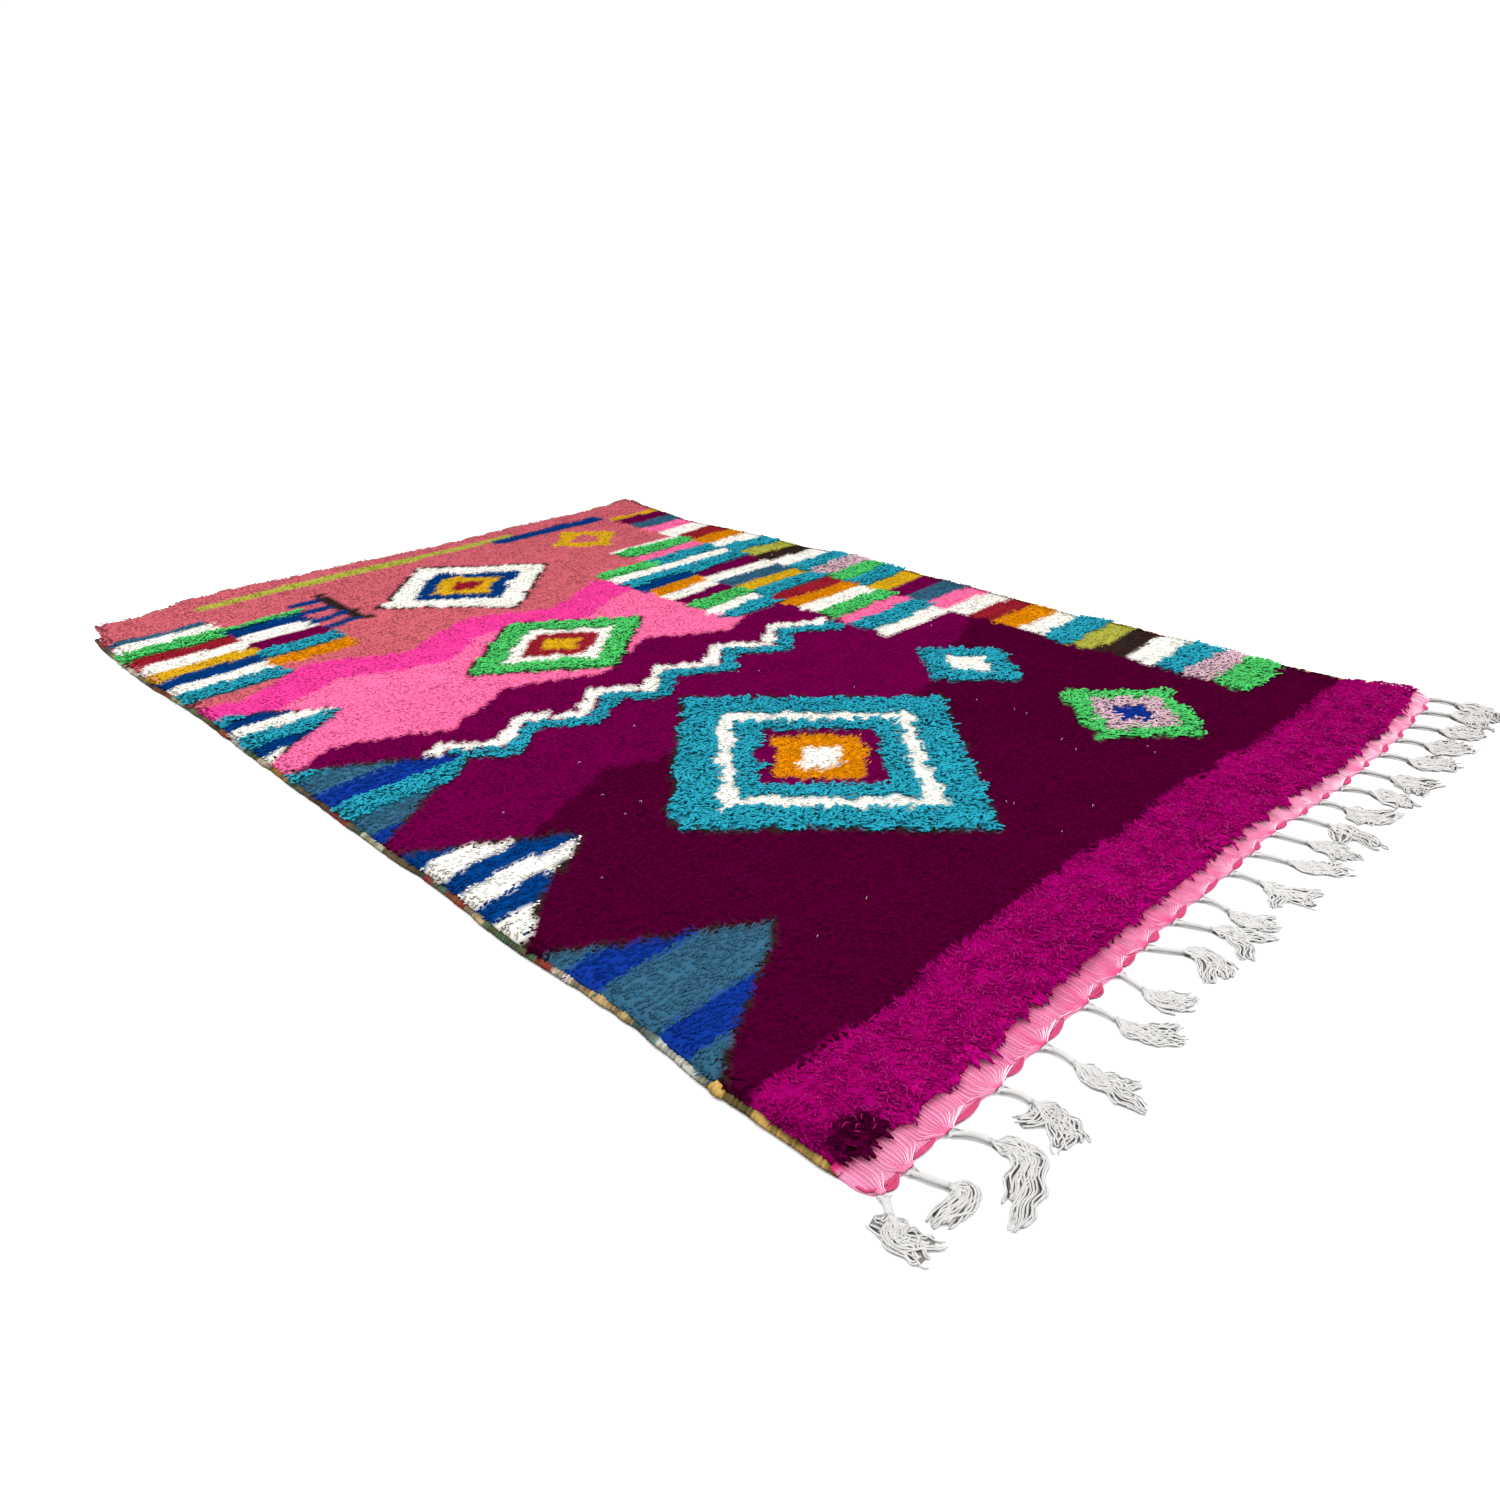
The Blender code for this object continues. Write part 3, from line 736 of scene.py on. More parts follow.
YARN_ENDS = {name: yarn_end(nap.steps, nap.blunt) for name, nap in NAPS.items()}
print({name: len(faces) for name, (_, faces) in YARN_ENDS.items()}, "triangles in a yarn end")

# %% Plant yarn ends
STAND = 1.7  # how steeply a yarn rises at its root before it leans over


def mesh_of(name, points, faces):
    """A mesh from an array of points and one of triangles."""
    mesh = bpy.data.meshes.new(name)
    mesh.vertices.add(len(points))
    mesh.vertices.foreach_set("co", points.astype(np.float32).ravel())
    mesh.loops.add(faces.size)
    mesh.loops.foreach_set("vertex_index", faces.astype(np.int32).ravel())
    mesh.polygons.add(len(faces))
    mesh.polygons.foreach_set("loop_start", np.arange(0, faces.size, 3, dtype=np.int32))
    mesh.update(calc_edges=True)
    mesh.validate()
    return mesh


def plant(name, shape, roots, rise, lean, wide, turn, curl, tone, material, droop=0.0):
    """Joins a copy of the shape at every root, each risen, leaned, turned and toned its own way."""
    points, faces = shape
    up = points[:, 2]
    cos, sin = np.cos(turn)[:, None], np.sin(turn)[:, None]
    across = (points[:, 0] * cos - points[:, 1] * sin) * wide[:, None]
    forward = (points[:, 0] * sin + points[:, 1] * cos) * wide[:, None]
    bend = up**1.6
    sway = np.sin(math.pi * up)
    place = np.repeat(roots[:, None, :], len(points), axis=1)
    place[:, :, 0] += across + lean[:, :1] * bend + curl[:, :1] * sway
    place[:, :, 1] += forward + lean[:, 1:] * bend + curl[:, 1:] * sway
    place[:, :, 2] += rise[:, None] * (STAND * up - (STAND - 1) * up**2)
    place[:, :, 2] -= np.multiply.outer(droop * np.ones(len(roots)), up**2)
    joined = faces[None] + (np.arange(len(roots)) * len(points))[:, None, None]
    mesh = mesh_of(name, place.reshape(-1, 3), joined.reshape(-1, 3))
    mark(mesh, "tone", np.repeat(tone, len(points)))
    mark(mesh, "up", np.tile(up, len(roots)))
    add_top_map(mesh)
    return piece_of(name, mesh, material)


def add_top_map(mesh):
    """A UV map that looks straight down on the rug."""
    corners = np.empty(len(mesh.loops), np.int32)
    mesh.loops.foreach_get("vertex_index", corners)
    span = pile_high.y - strip_low.y
    flat = points_in(mesh)[corners, :2]
    flat = (flat - np.array([pile_low.x, strip_low.y], np.float32)) / span * 0.98 + 0.01
    layer = mesh.uv_layers.new(name="OFBake")
    layer.data.foreach_set("uv", flat.astype(np.float32).ravel())


# %% Tie the knots
LEAN_SIZE = 0.035  # over which neighbours lean alike
CLUMP_SIZE = 0.024  # the locks that ends gather in
ROW_TONE = 0.30
ROOT_SUNK = 0.0008  # a yarn's foot is this far down in the ground cloth
BAND_RIM = 0.024  # the strip of the band that spreads over the field
BAND_SPREAD = 0.011
OVERHANG = 0.012  # how near a side a yarn starts to lean out over it
SIDE_OUT = (0.003, 0.018)  # over a side cord, from place to place
RIGHT_SHARE = 0.40  # of that, over the right one
LEFT_ROOM = 0.0015  # the outermost yarns are spread out to this far from the left edge
SIDE_SIZE = 0.040
NEAR_OUT = 0.008
CRACK_WIDE = 0.050  # the gaps where two rows part
CRACK_LONG = 0.0055
CRACK_SHARE = 0.32
LEAST_TIP = 0.012  # how high a pile's top is at least
ONE_WAY = 0.75  # the share of sleek yarns that lean the same way

chance = np.random.default_rng(7)


def shared_lean(x, y, size):
    found = [noise.noise_vector((a / size, b / size, 3.0)) for a, b in zip(x, y)]
    return np.array([(f.x, f.y) for f in found])


def to_clump(x, y):
    """From each root to the middle of its lock."""
    dice = np.random.default_rng(33)
    jitter = dice.uniform(0.1, 0.9, (120, 120, 2))
    column = np.floor((x + 1.0) / CLUMP_SIZE).astype(int)
    row = np.floor((y + 1.3) / CLUMP_SIZE).astype(int)
    middle = (np.stack([column, row], axis=1) + jitter[column, row]) * CLUMP_SIZE
    return middle - np.array([1.0, 1.3]) - np.stack([x, y], axis=1)


def over_edges(x, y):
    """How far a root's yarn leans out over the nearest edge each way."""
    left = np.clip(1 - (x - along(left_pile, y)) / OVERHANG, 0, 1)
    right = np.clip(1 - (along(right_pile, y) - x) / OVERHANG, 0, 1)
    near = np.clip(1 - (y - along(near_pile, x)) / OVERHANG, 0, 1)
    place = np.array([noise.noise((0.0, b / SIDE_SIZE, 2.0 + np.sign(a))) for a, b in zip(x, y)])
    side_out = np.interp(place, (-0.35, 0.35), SIDE_OUT)
    return np.stack([(RIGHT_SHARE * right - left) * side_out, -near * NEAR_OUT], axis=1)


def parted(x, y):
    """Whether a root is in a gap between two rows."""
    found = [noise.noise((a / CRACK_WIDE, b / CRACK_LONG, 8.0)) for a, b in zip(x, y)]
    return np.array(found) > CRACK_SHARE


def tie_knots(dye_at):
    """One dye's yarns: a few ends from each of its knots."""
    dye = DYES[dye_at]
    nap = NAPS[dye.nap]
    mine = np.flatnonzero(knot_dye == dye_at)
    ends = np.repeat(mine, nap.ends)
    x = knot_x[ends] + chance.uniform(-0.5, 0.5, len(ends)) * KNOT_WIDE
    y = knot_y[ends] + chance.uniform(-0.5, 0.5, len(ends)) * KNOT_LONG
    rim = along(left_pile, y) + LEFT_ROOM
    x = np.where(x < rim + KNOT_WIDE, rim + (x - rim) * chance.random(len(ends)), x)
    kept = ~parted(x, y)
    ends, x, y = ends[kept], x[kept], y[kept]
    count = len(ends)
    tips = np.array([pile_top(a, b) for a, b in zip(x, y)])
    feet = np.array([foot_at(a, b) for a, b in zip(x, y)])
    tips = np.maximum(tips, feet + LEAST_TIP)
    rise = nap.tall * chance.uniform(0.85, 1.2, count)
    roots = np.stack([x, y, tips + relief_at(x, y, nap.lump) - nap.sunk - ROOT_SUNK], axis=1)
    lean = np.tile([0.0, -nap.reach], (count, 1))
    lean[:, 0] += nap.sideways * np.where(chance.random(count) < ONE_WAY, 1.0, -1.0)
    lean += nap.stray * 1.8 * shared_lean(x, y, LEAN_SIZE)
    lean += nap.clump * to_clump(x, y)
    lean += chance.normal(0.0, 0.7, (count, 2)) * nap.stray
    lean += over_edges(x, y)
    if dye.nap == "band":
        up_from_strip = y - along(near_pile, x)
        lean[:, 1] += BAND_SPREAD * np.clip((up_from_strip - BAND_REACH) / BAND_RIM + 1, 0, 1)
    curl = chance.normal(0.0, 1.0, (count, 2)) * nap.curl
    wide = nap.wide * chance.uniform(0.8, 1.2, count)
    turn = chance.uniform(0.0, math.tau, count)
    row_tone = np.random.default_rng(3).uniform(0.0, 1.0, knot_row.max() + 1)[knot_row[ends]]
    tone = ROW_TONE * row_tone + (1 - ROW_TONE) * chance.uniform(0.0, 1.0, count)
    shape = YARN_ENDS[dye.nap]
    return plant("pile_" + dye.name, shape, roots, rise, lean, wide, turn, curl, tone, wools[dye.name])


pile = [tie_knots(dye_at) for dye_at in range(len(DYES))]
for piece in pile:
    print(piece.name, len(piece.data.polygons), "triangles")
print("the pile has", sum(len(piece.data.polygons) for piece in pile), "triangles in all")

# %% Hang locks over the strip
HANG_STEP = 0.0090
HANG_ENDS = 9
HANG_SCATTER = 0.0034
HANG_ROOTS = 0.022  # how far in from the band's rim a lock's ends are rooted
HANG_SUNK = 0.0045  # and how far down
HANG_RISE = (0.006, 0.009)
HANG_REACH = (0.003, 0.021)  # how far beyond the rim its tip is
HANG_TIP = (0.0080, 0.0125)  # and how high
HANG_SWEEP = 0.032  # over which neighbours reach alike
HANG_SLANT = 0.006
HANG_THICK = (0.0042, 0.0062)
HANG_CURL = 0.0014
HANG_RIGHT = 0.785  # x where the last lock is


def hang_locks(dye, low, high):
    """Ends gathered in locks, which hang from the band's rim over the strip."""
    dice = np.random.default_rng(41)
    middle = np.arange(low, high, HANG_STEP)
    middle += dice.uniform(-0.4, 0.4, len(middle)) * HANG_STEP
    lock = np.repeat(np.arange(len(middle)), HANG_ENDS)
    count = len(lock)
    x = middle[lock] + dice.normal(0.0, HANG_SCATTER, count)
    back = dice.uniform(0.002, HANG_ROOTS, count)
    y = along(near_pile, x) + back
    top = np.array([pile_top(a, b) for a, b in zip(x, y)])
    roots = np.stack([x, y, top - HANG_SUNK], axis=1)
    rise = dice.uniform(*HANG_RISE, count)
    place = [noise.noise((at / HANG_SWEEP, 0.0, 4.0)) for at in middle]
    reach = np.interp(place, (-0.35, 0.35), HANG_REACH) * dice.uniform(0.7, 1.15, len(middle))
    reach = reach[lock] * dice.uniform(0.75, 1.05, count)
    beyond = reach * (1 - 0.75 * back / HANG_ROOTS)
    slant = dice.normal(0.0, HANG_SLANT, len(middle))[lock]
    lean = np.stack([slant + (middle[lock] - x) * 0.7, -(beyond + back * 0.55)], axis=1)
    tip = dice.uniform(*HANG_TIP, count) + 0.35 * back
    droop = np.maximum(roots[:, 2] + rise - tip, 0.0)
    wide = dice.uniform(*HANG_THICK, count)
    curl = dice.normal(0.0, HANG_CURL, (count, 2))
    turn = dice.uniform(0.0, math.tau, count)
    tone = dice.random(count)
    shape = yarn_end(3, 0.55)
    name = "locks_" + dye
    return plant(name, shape, roots, rise, lean, wide, turn, curl, tone, wools[dye], droop)


patch_left, patch_right = PATCH_X - PATCH_SIZE * 0.7, PATCH_X + PATCH_SIZE * 0.7
locks = [hang_locks("magenta", patch_right, HANG_RIGHT), hang_locks("dusk", patch_left, patch_right)]
pile += locks
print("the locks have", sum(len(piece.data.polygons) for piece in locks), "triangles")

# %% [markdown]
# ## Spun yarn
#
# The strip's warps, the last weft, the side cords and the fringe are all yarn that can be
# followed from end to end. Each yarn is a curve with a round section, and Blender makes a tube
# of it, with a UV map that runs round and along. The tubes of one piece are made a mesh together,
# and their end caps are welded to them, so that every yarn is closed. Their finishes paint the
# shade on a yarn's lower flanks into its colour. The fringe is a little greyer towards the rug's
# right side, and the painted shade on its flanks is deeper there.

# %% Spin yarn from paths
RIGHT_GREY = (178, 168, 158)
RIGHT_GREY_FROM = (-0.1, 0.7)  # x over which a yarn gets greyer


def smooth_path(points, count):
    """Points at even steps on a smooth curve through a few points."""
    knots = np.array(points, float)
    ends = 2 * knots[0] - knots[1], 2 * knots[-1] - knots[-2]
    padded = np.vstack([ends[0], knots, ends[1]])
    at = np.linspace(0, len(knots) - 1 - 1e-9, count)
    first = at.astype(int)
    t = (at - first)[:, None]
    p0, p1, p2, p3 = (padded[first + step] for step in range(4))
    return 0.5 * (
        2 * p1 + (p2 - p0) * t + (2 * p0 - 5 * p1 + 4 * p2 - p3) * t**2
        + (3 * p1 - p0 - 3 * p2 + p3) * t**3
    )


def spin_yarns(name, paths, thick, round_steps=1, radii=None):
    """A mesh of closed tubes along the paths."""
    curve = bpy.data.curves.new(name, "CURVE")
    curve.dimensions = "3D"
    curve.bevel_depth = thick / 2
    curve.bevel_resolution = round_steps
    curve.use_fill_caps = True
    for at, path in enumerate(paths):
        spline = curve.splines.new("POLY")
        spline.points.add(len(path) - 1)
        corners = np.column_stack([path, np.ones(len(path))])
        spline.points.foreach_set("co", corners.astype(np.float32).ravel())
        if radii is not None:
            spline.points.foreach_set("radius", np.asarray(radii[at], np.float32))
    holder = bpy.data.objects.new(name, curve)
    bpy.context.scene.collection.objects.link(holder)
    graph = bpy.context.evaluated_depsgraph_get()
    mesh = bpy.data.meshes.new_from_object(holder.evaluated_get(graph))
    bpy.data.objects.remove(holder)
    bpy.data.curves.remove(curve)
    mesh.name = name
    block = bmesh.new()
    block.from_mesh(mesh)
    bmesh.ops.remove_doubles(block, verts=block.verts, dist=1e-6)
    block.to_mesh(mesh)
    block.free()
    return mesh


def yarn_finish(name, red, green, blue, plies, flank_shade=0.5, greying_and_shade=0.0):
    """Spun yarn of one colour, with painted shade in the slanted grooves between its plies and on
    its lower flanks. It is a share greyer towards the rug's right side, where the painted shade on
    its flanks is deeper too."""
    base = colour_of(red, green, blue)
    material, shader, wire = plain_fabric(name, sheen=0.05, tint=base)
    place = place_in(wire)
    around, lengthwise, _ = split(wire.node("UVMap"))
    ply = stripes(lengthwise * plies + around * 2.0)
    fuzz = noise_on(wire, place, 600.0)
    drift = noise_on(wire, place, 45.0)
    upward = facing_up(wire, -0.2, 0.75)
    grey_and_shade = split(place)[0].ramp(*RIGHT_GREY_FROM) * greying_and_shade
    worn = wire.colour(base).towards(colour_of(*RIGHT_GREY), grey_and_shade)
    # painted shade: the flanks that face down are darker by a set share, and darker still towards the
    # right where the yarn is greyer; the ply stripes paint shade into the grooves between the plies
    lit = (1.0 - flank_shade) + flank_shade * upward - 0.8 * grey_and_shade * (1.0 - upward)
    show_colour(wire, shader, worn.scaled(lit * (0.80 + 0.16 * ply + 0.16 * drift)))
    set_relief(wire, shader, ply + 0.6 * fuzz, 0.0004, 0.7)
    return material


# %% [markdown]
# ## Loose strands
#
# The band's yarn is softly spun, so long single fibres work loose and curl over the top of it,
# paler than the rest because light passes through them. A new rug also sheds, and a few bits of
# other wool cling to the plain ground. Both are short yarns that lie on the pile, scattered by a
# seeded generator so that each run gives the same rug.

# %% Scatter loose strands
CURLS = 1100
CURL_LONG = 0.0115
CURL_THICK = 0.0011
CURL_SPAN = (-0.785, 0.770)  # x that they are scattered over
LINT = 90
LINT_LONG = 0.0055
LINT_THICK = 0.0009
STRAND_STEPS = 5


def strand_on_pile(x, y, long, bend, above, dice):
    """A short curved strand that lies on the pile."""
    turns = dice.uniform(0, math.tau) + bend * np.linspace(-1, 1, STRAND_STEPS)
    steps = np.column_stack([np.cos(turns), np.sin(turns)]) * long / STRAND_STEPS
    flat = np.cumsum(steps, axis=0) + (x, y)
    arch = np.sin(math.pi * np.linspace(0, 1, STRAND_STEPS))
    top = np.array([pile_top(*point) for point in flat])
    return np.column_stack([flat, top + above + 0.0030 * arch])


def make_curls():
    dice = random.Random(12)
    paths = []
    while len(paths) < CURLS:
        x = dice.uniform(*CURL_SPAN)
        up = BAND_REACH * dice.random() ** 1.5
        path = strand_on_pile(
            x, along(near_pile, x) + 0.010 + up * 0.88, CURL_LONG * dice.uniform(0.5, 1.2),
            dice.uniform(0.3, 1.3), 0.0, dice,
        )
        if path[:, 2].min() > 0.004:
            path[:, 2] += 0.0006 + relief_at(path[:, 0], path[:, 1], NAPS["band"].lump)
            paths.append(path)
    mesh = spin_yarns("pile_curls", paths, CURL_THICK, 0)
    # painted highlight: the curls are paler than the band's wool, for the light that passes through a
    # loose fibre
    finish = yarn_finish("wool_curls", 194, 38, 128, 8.0, flank_shade=0.3)
    return piece_of("pile_curls", mesh, finish)


def make_lint():
    dice = random.Random(19)
    paths = []
    for _ in range(LINT):
        x, y = dice.uniform(-0.7, 0.7), dice.uniform(-1.0, 1.0)
        long = LINT_LONG * dice.uniform(0.5, 1.5)
        paths.append(strand_on_pile(x, y, long, dice.uniform(0.2, 1.0), -0.0010, dice))
    mesh = spin_yarns("pile_lint", paths, LINT_THICK, 0)
    finish = yarn_finish("wool_lint", 244, 214, 226, 8.0, flank_shade=0.3)
    return piece_of("pile_lint", mesh, finish)


curls = make_curls()
lint = make_lint()
print("the loose strands have", len(curls.data.polygons) + len(lint.data.polygons), "faces")

# %% [markdown]
# ## The fringe
#
# When the rug comes off the loom, the weaver gathers the loose warps of every few inches, twists
# them into a neck close to the weaving and lets the rest hang. On the floor each tassel falls in
# its own way. The list below says where each one starts, where its neck ends and where its locks
# come to rest. A lock's yarns part into three groups that share one wave, over a flat dark strand,
# a painted shadow that stands for the unlit yarns inside. Some turn back at the tip as loops,
# because warps are wound on the loom in loops and not all of them are cut. The tassels get fuller
# towards the right.

# %% List the tassels
Tassel = namedtuple("Tassel", "across neck tips")
TASSELS = (
    Tassel(-0.818, (-0.014, -0.020), ((-0.030, -0.006), (-0.028, -0.076), (-0.003, -0.071))),
    Tassel(-0.775, (0.012, -0.040), ((-0.034, -0.054), (-0.026, -0.064))),
    Tassel(-0.706, (0.020, -0.038), ((-0.055, -0.117), (0.032, -0.091), (-0.035, -0.095))),
    Tassel(-0.617, (0.008, -0.038), ((-0.003, -0.104), (-0.031, -0.095), (-0.030, -0.040))),
    Tassel(-0.525, (0.000, -0.040), ((-0.011, -0.130), (0.021, -0.107), (-0.004, -0.090))),
    Tassel(-0.428, (0.002, -0.040), ((0.026, -0.114), (0.008, -0.100), (0.042, -0.094))),
    Tassel(-0.344, (-0.009, -0.036), ((0.002, -0.092), (0.020, -0.084), (-0.018, -0.080))),
    Tassel(-0.272, (0.022, -0.038), ((0.012, -0.106), (0.034, -0.096), (-0.010, -0.088))),
    Tassel(-0.195, (0.018, -0.043), ((0.058, -0.110), (-0.010, -0.104), (0.026, -0.090))),
    Tassel(-0.118, (-0.003, -0.040), ((0.003, -0.104), (0.022, -0.094), (-0.016, -0.088))),
    Tassel(-0.028, (0.004, -0.038), ((0.036, -0.109), (-0.001, -0.120), (-0.036, -0.077))),
    Tassel(0.044, (0.012, -0.046), ((0.048, -0.122), (0.060, -0.100), (0.034, -0.098))),
    Tassel(0.121, (0.008, -0.046), ((0.014, -0.118), (0.030, -0.100), (-0.006, -0.100))),
    Tassel(0.199, (0.003, -0.042), ((-0.012, -0.122), (-0.034, -0.070), (0.014, -0.098))),
    Tassel(0.268, (0.004, -0.034), ((0.050, -0.100), (-0.022, -0.072), (0.012, -0.096))),
    Tassel(0.335, (0.018, -0.038), ((0.022, -0.106), (0.044, -0.092), (0.002, -0.090))),
    Tassel(0.423, (0.005, -0.041), ((0.042, -0.106), (-0.026, -0.092), (0.010, -0.090))),
    Tassel(0.506, (0.010, -0.038), ((0.058, -0.104), (0.034, -0.092), (0.070, -0.078))),
    Tassel(0.585, (0.012, -0.038), ((0.060, -0.100), (0.038, -0.096), (0.068, -0.072))),
    Tassel(0.662, (0.014, -0.040), ((0.058, -0.102), (0.032, -0.098), (0.068, -0.080))),
    Tassel(0.742, (0.014, -0.040), ((0.054, -0.084), (-0.006, -0.104), (0.020, -0.092))),
    Tassel(0.812, (0.006, -0.038), ((0.020, -0.096), (-0.030, -0.122), (-0.002, -0.100))),
)

# %% Tie the tassels
WARP_THICK = 0.0027
NECK_YARNS = 9
NECK_RADIUS = 0.0031
NECK_TURNS = 1.15
NECK_RISE = (0.0038, 0.0062, 0.0064, 0.0052)  # its middle's height, from root to end
ROOT_SPREAD = 0.008
LOCK_YARNS = 9
BUSHY = (1.0, 1.70)  # how much fuller the tassels get towards the right
BUSHY_FROM = (0.0, 0.5)
LOCK_WIDE = 0.0300
LOCK_STEPS = 23
WAVE_LONG = 0.029
WAVE_HIGH = 0.0026
GROUP_WAVE = 0.0012
OWN_WAVE = 0.0006
GROUPS = 3  # that a lock's yarns part into
GROUP_PACK = 0.86  # how much of its room a group fills
GROUP_LOOSE = 0.42  # and how much less of it in a bushy tassel
SHADOW_CORE_WIDE = 0.60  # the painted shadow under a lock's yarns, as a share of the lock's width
SHADOW_CORE_THICK = 0.0014
FLOOR_YARN = WARP_THICK / 2 + 0.0002


def root_of(tassel):
    """Where a tassel leaves the end of the weaving."""
    return np.array([tassel.across, along(weft_rim, tassel.across) + 0.002])


def beside_line(line):
    """The way ahead and the way across, at each point of a line on the floor."""
    ahead = np.gradient(line, axis=0)
    ahead /= np.linalg.norm(ahead, axis=1)[:, None]
    return ahead, np.column_stack([-ahead[:, 1], ahead[:, 0]])


def neck_paths(tassel, dice):
    """Yarns twisted round one another, from the weaving to the neck's end."""
    root = root_of(tassel)
    end = root + tassel.neck
    middle = (root + end) / 2 + np.array([0.003 * dice.uniform(-1, 1), 0.0])
    line = smooth_path([root, middle, end], 13)
    share = np.linspace(0, 1, len(line))
    rise = np.interp(share, np.linspace(0, 1, len(NECK_RISE)), NECK_RISE)
    ahead, beside = beside_line(line)
    paths = []
    for yarn in range(NECK_YARNS):
        turn = math.tau * (yarn / NECK_YARNS + NECK_TURNS * share)
        spread = ROOT_SPREAD * (yarn / (NECK_YARNS - 1) * 2 - 1) * np.clip(1 - share / 0.3, 0, 1) ** 1.5
        grip = NECK_RADIUS * np.clip(0.35 + share / 0.3, 0, 1)
        flat = line + beside * (spread + grip * np.cos(turn))[:, None]
        height = np.maximum(rise + 0.75 * grip * np.sin(turn), FLOOR_YARN)
        paths.append(np.column_stack([flat, height]))
    return paths, end, ahead[-1]


def lock_shape(start, heading, tip, full):
    """A lock's middle line, and how wide it is along that line."""
    reach = np.linalg.norm(tip - start)
    bend = start + heading * reach * 0.38
    guide = smooth_path([start, bend, (bend + tip) / 2 + heading * reach * 0.06, tip], LOCK_STEPS)
    share = np.linspace(0, 1, len(guide))
    burst = np.clip(share / 0.22, 0, 1) ** 0.7
    narrowed = 1 - 0.42 * np.clip((share - 0.62) / 0.38, 0, 1) ** 1.3
    return guide, share, LOCK_WIDE * full * (0.10 + 0.90 * burst) * narrowed, reach / WAVE_LONG


def lock_wave(share, turns, phase):
    return WAVE_HIGH * np.sin(math.tau * (turns * share + phase)) * np.sin(math.pi * share) ** 0.5


def lock_paths(start, heading, tip, full, dice):
    """One lock: yarns side by side in a shared wave, some joined at the tip, and the path of the painted
    shadow under it.
    """
    guide, share, wide, turns = lock_shape(start, heading, tip, full)
    yarns = GROUPS * round(LOCK_YARNS / GROUPS * math.sqrt(full))
    turns *= dice.uniform(0.85, 1.2)
    ahead, beside = beside_line(guide)
    shared = full * lock_wave(share, turns, dice.uniform(0, 1))
    pack = GROUP_PACK - GROUP_LOOSE * (full - 1)
    flattened = np.clip(share / 0.22, 0, 1) ** 0.8
    groups = [dice.uniform(0, 1) for _ in range(GROUPS)]
    runs = []
    for yarn in range(yarns):
        group, inside = divmod(yarn, yarns // GROUPS)
        middle = (group + 0.5) / GROUPS - 0.5
        within = ((inside + 0.5) / (yarns // GROUPS) - 0.5) / GROUPS * pack
        row = wide * (middle + within) * dice.uniform(0.94, 1.06)
        own = GROUP_WAVE * np.sin(math.tau * (turns * 0.9 * share + groups[group])) * share**0.5
        own += OWN_WAVE * np.sin(math.tau * (turns * 1.3 * share + dice.uniform(0, 1))) * share**0.5
        turn = dice.uniform(0, math.tau)
        bundle = NECK_RADIUS * dice.random() ** 0.5
        off = bundle * math.cos(turn) * (1 - flattened) + row * flattened
        flat = guide + beside * (shared + off + own)[:, None]
        flat += ahead * (dice.uniform(-0.014, 0.006) * share**2)[:, None]
        layer = FLOOR_YARN + SHADOW_CORE_THICK * 0.6 + WARP_THICK * 0.7 * dice.random() ** 1.5
        round_neck = NECK_RISE[-1] + 0.75 * bundle * math.sin(turn)
        ripple = 0.0012 * np.abs(np.sin(math.tau * (turns * share + dice.uniform(0, 1))))
        height = round_neck * (1 - flattened) + (layer * (1 - 0.4 * share) + ripple) * flattened
        runs.append(np.column_stack([flat, np.maximum(height, FLOOR_YARN)]))
    shadow_core = np.column_stack([guide + beside * shared[:, None], np.zeros(len(guide))])
    return joined_at_tips(runs, dice), shadow_core, wide


def joined_at_tips(runs, dice):
    """Lets some pairs of neighbours meet in a loop beyond their tips."""
    paths = []
    while runs:
        run = runs.pop(0)
        if runs and dice.random() < 0.45:
            back = runs.pop(0)
            beyond = (run[-1] + back[-1]) / 2 + (run[-1] - run[-2]) * 0.7
            beyond[2] = FLOOR_YARN
            run = np.vstack([run, beyond, back[::-1]])
        paths.append(run)
    return paths


def lock_shadow_cores(name, shadow_cores, widths):
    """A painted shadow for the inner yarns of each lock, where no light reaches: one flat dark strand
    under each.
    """
    radii = [wide * SHADOW_CORE_WIDE / SHADOW_CORE_THICK for wide in widths]
    mesh = spin_yarns(name, [shadow_core[1:-2] for shadow_core in shadow_cores], SHADOW_CORE_THICK, 1, [size[1:-2] for size in radii])
    points = points_in(mesh)
    highest = np.abs(points[:, 2]).max()
    points[:, 2] = FLOOR_ROOM + SHADOW_CORE_THICK / 2 * (1 + points[:, 2] / highest)
    mesh.vertices.foreach_set("co", points.ravel())
    return mesh


def tie_tassel(number, tassel):
    dice = random.Random(100 + number)
    name = f"fringe_{number:02d}"
    paths, end, heading = neck_paths(tassel, dice)
    shadow_cores, widths = [], []
    full = float(np.interp(tassel.across, BUSHY_FROM, BUSHY))
    for tip in tassel.tips:
        runs, shadow_core, wide = lock_paths(end, heading, root_of(tassel) + tip, full, dice)
        paths += runs
        shadow_cores.append(shadow_core)
        widths.append(wide)
    block = bmesh.new()
    block.from_mesh(spin_yarns(name, paths[:NECK_YARNS], WARP_THICK))
    block.from_mesh(spin_yarns(name, paths[NECK_YARNS:], WARP_THICK, 0))
    yarns = len(block.faces)
    block.from_mesh(lock_shadow_cores(name + "_cores", shadow_cores, widths))
    for at, face in enumerate(block.faces):
        face.material_index = int(at >= yarns)
    piece = piece_from(name, block, warp_yarn)
    piece.data.materials.append(shaded_yarn)
    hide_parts(f"tassel_{number:02d}")
    return piece


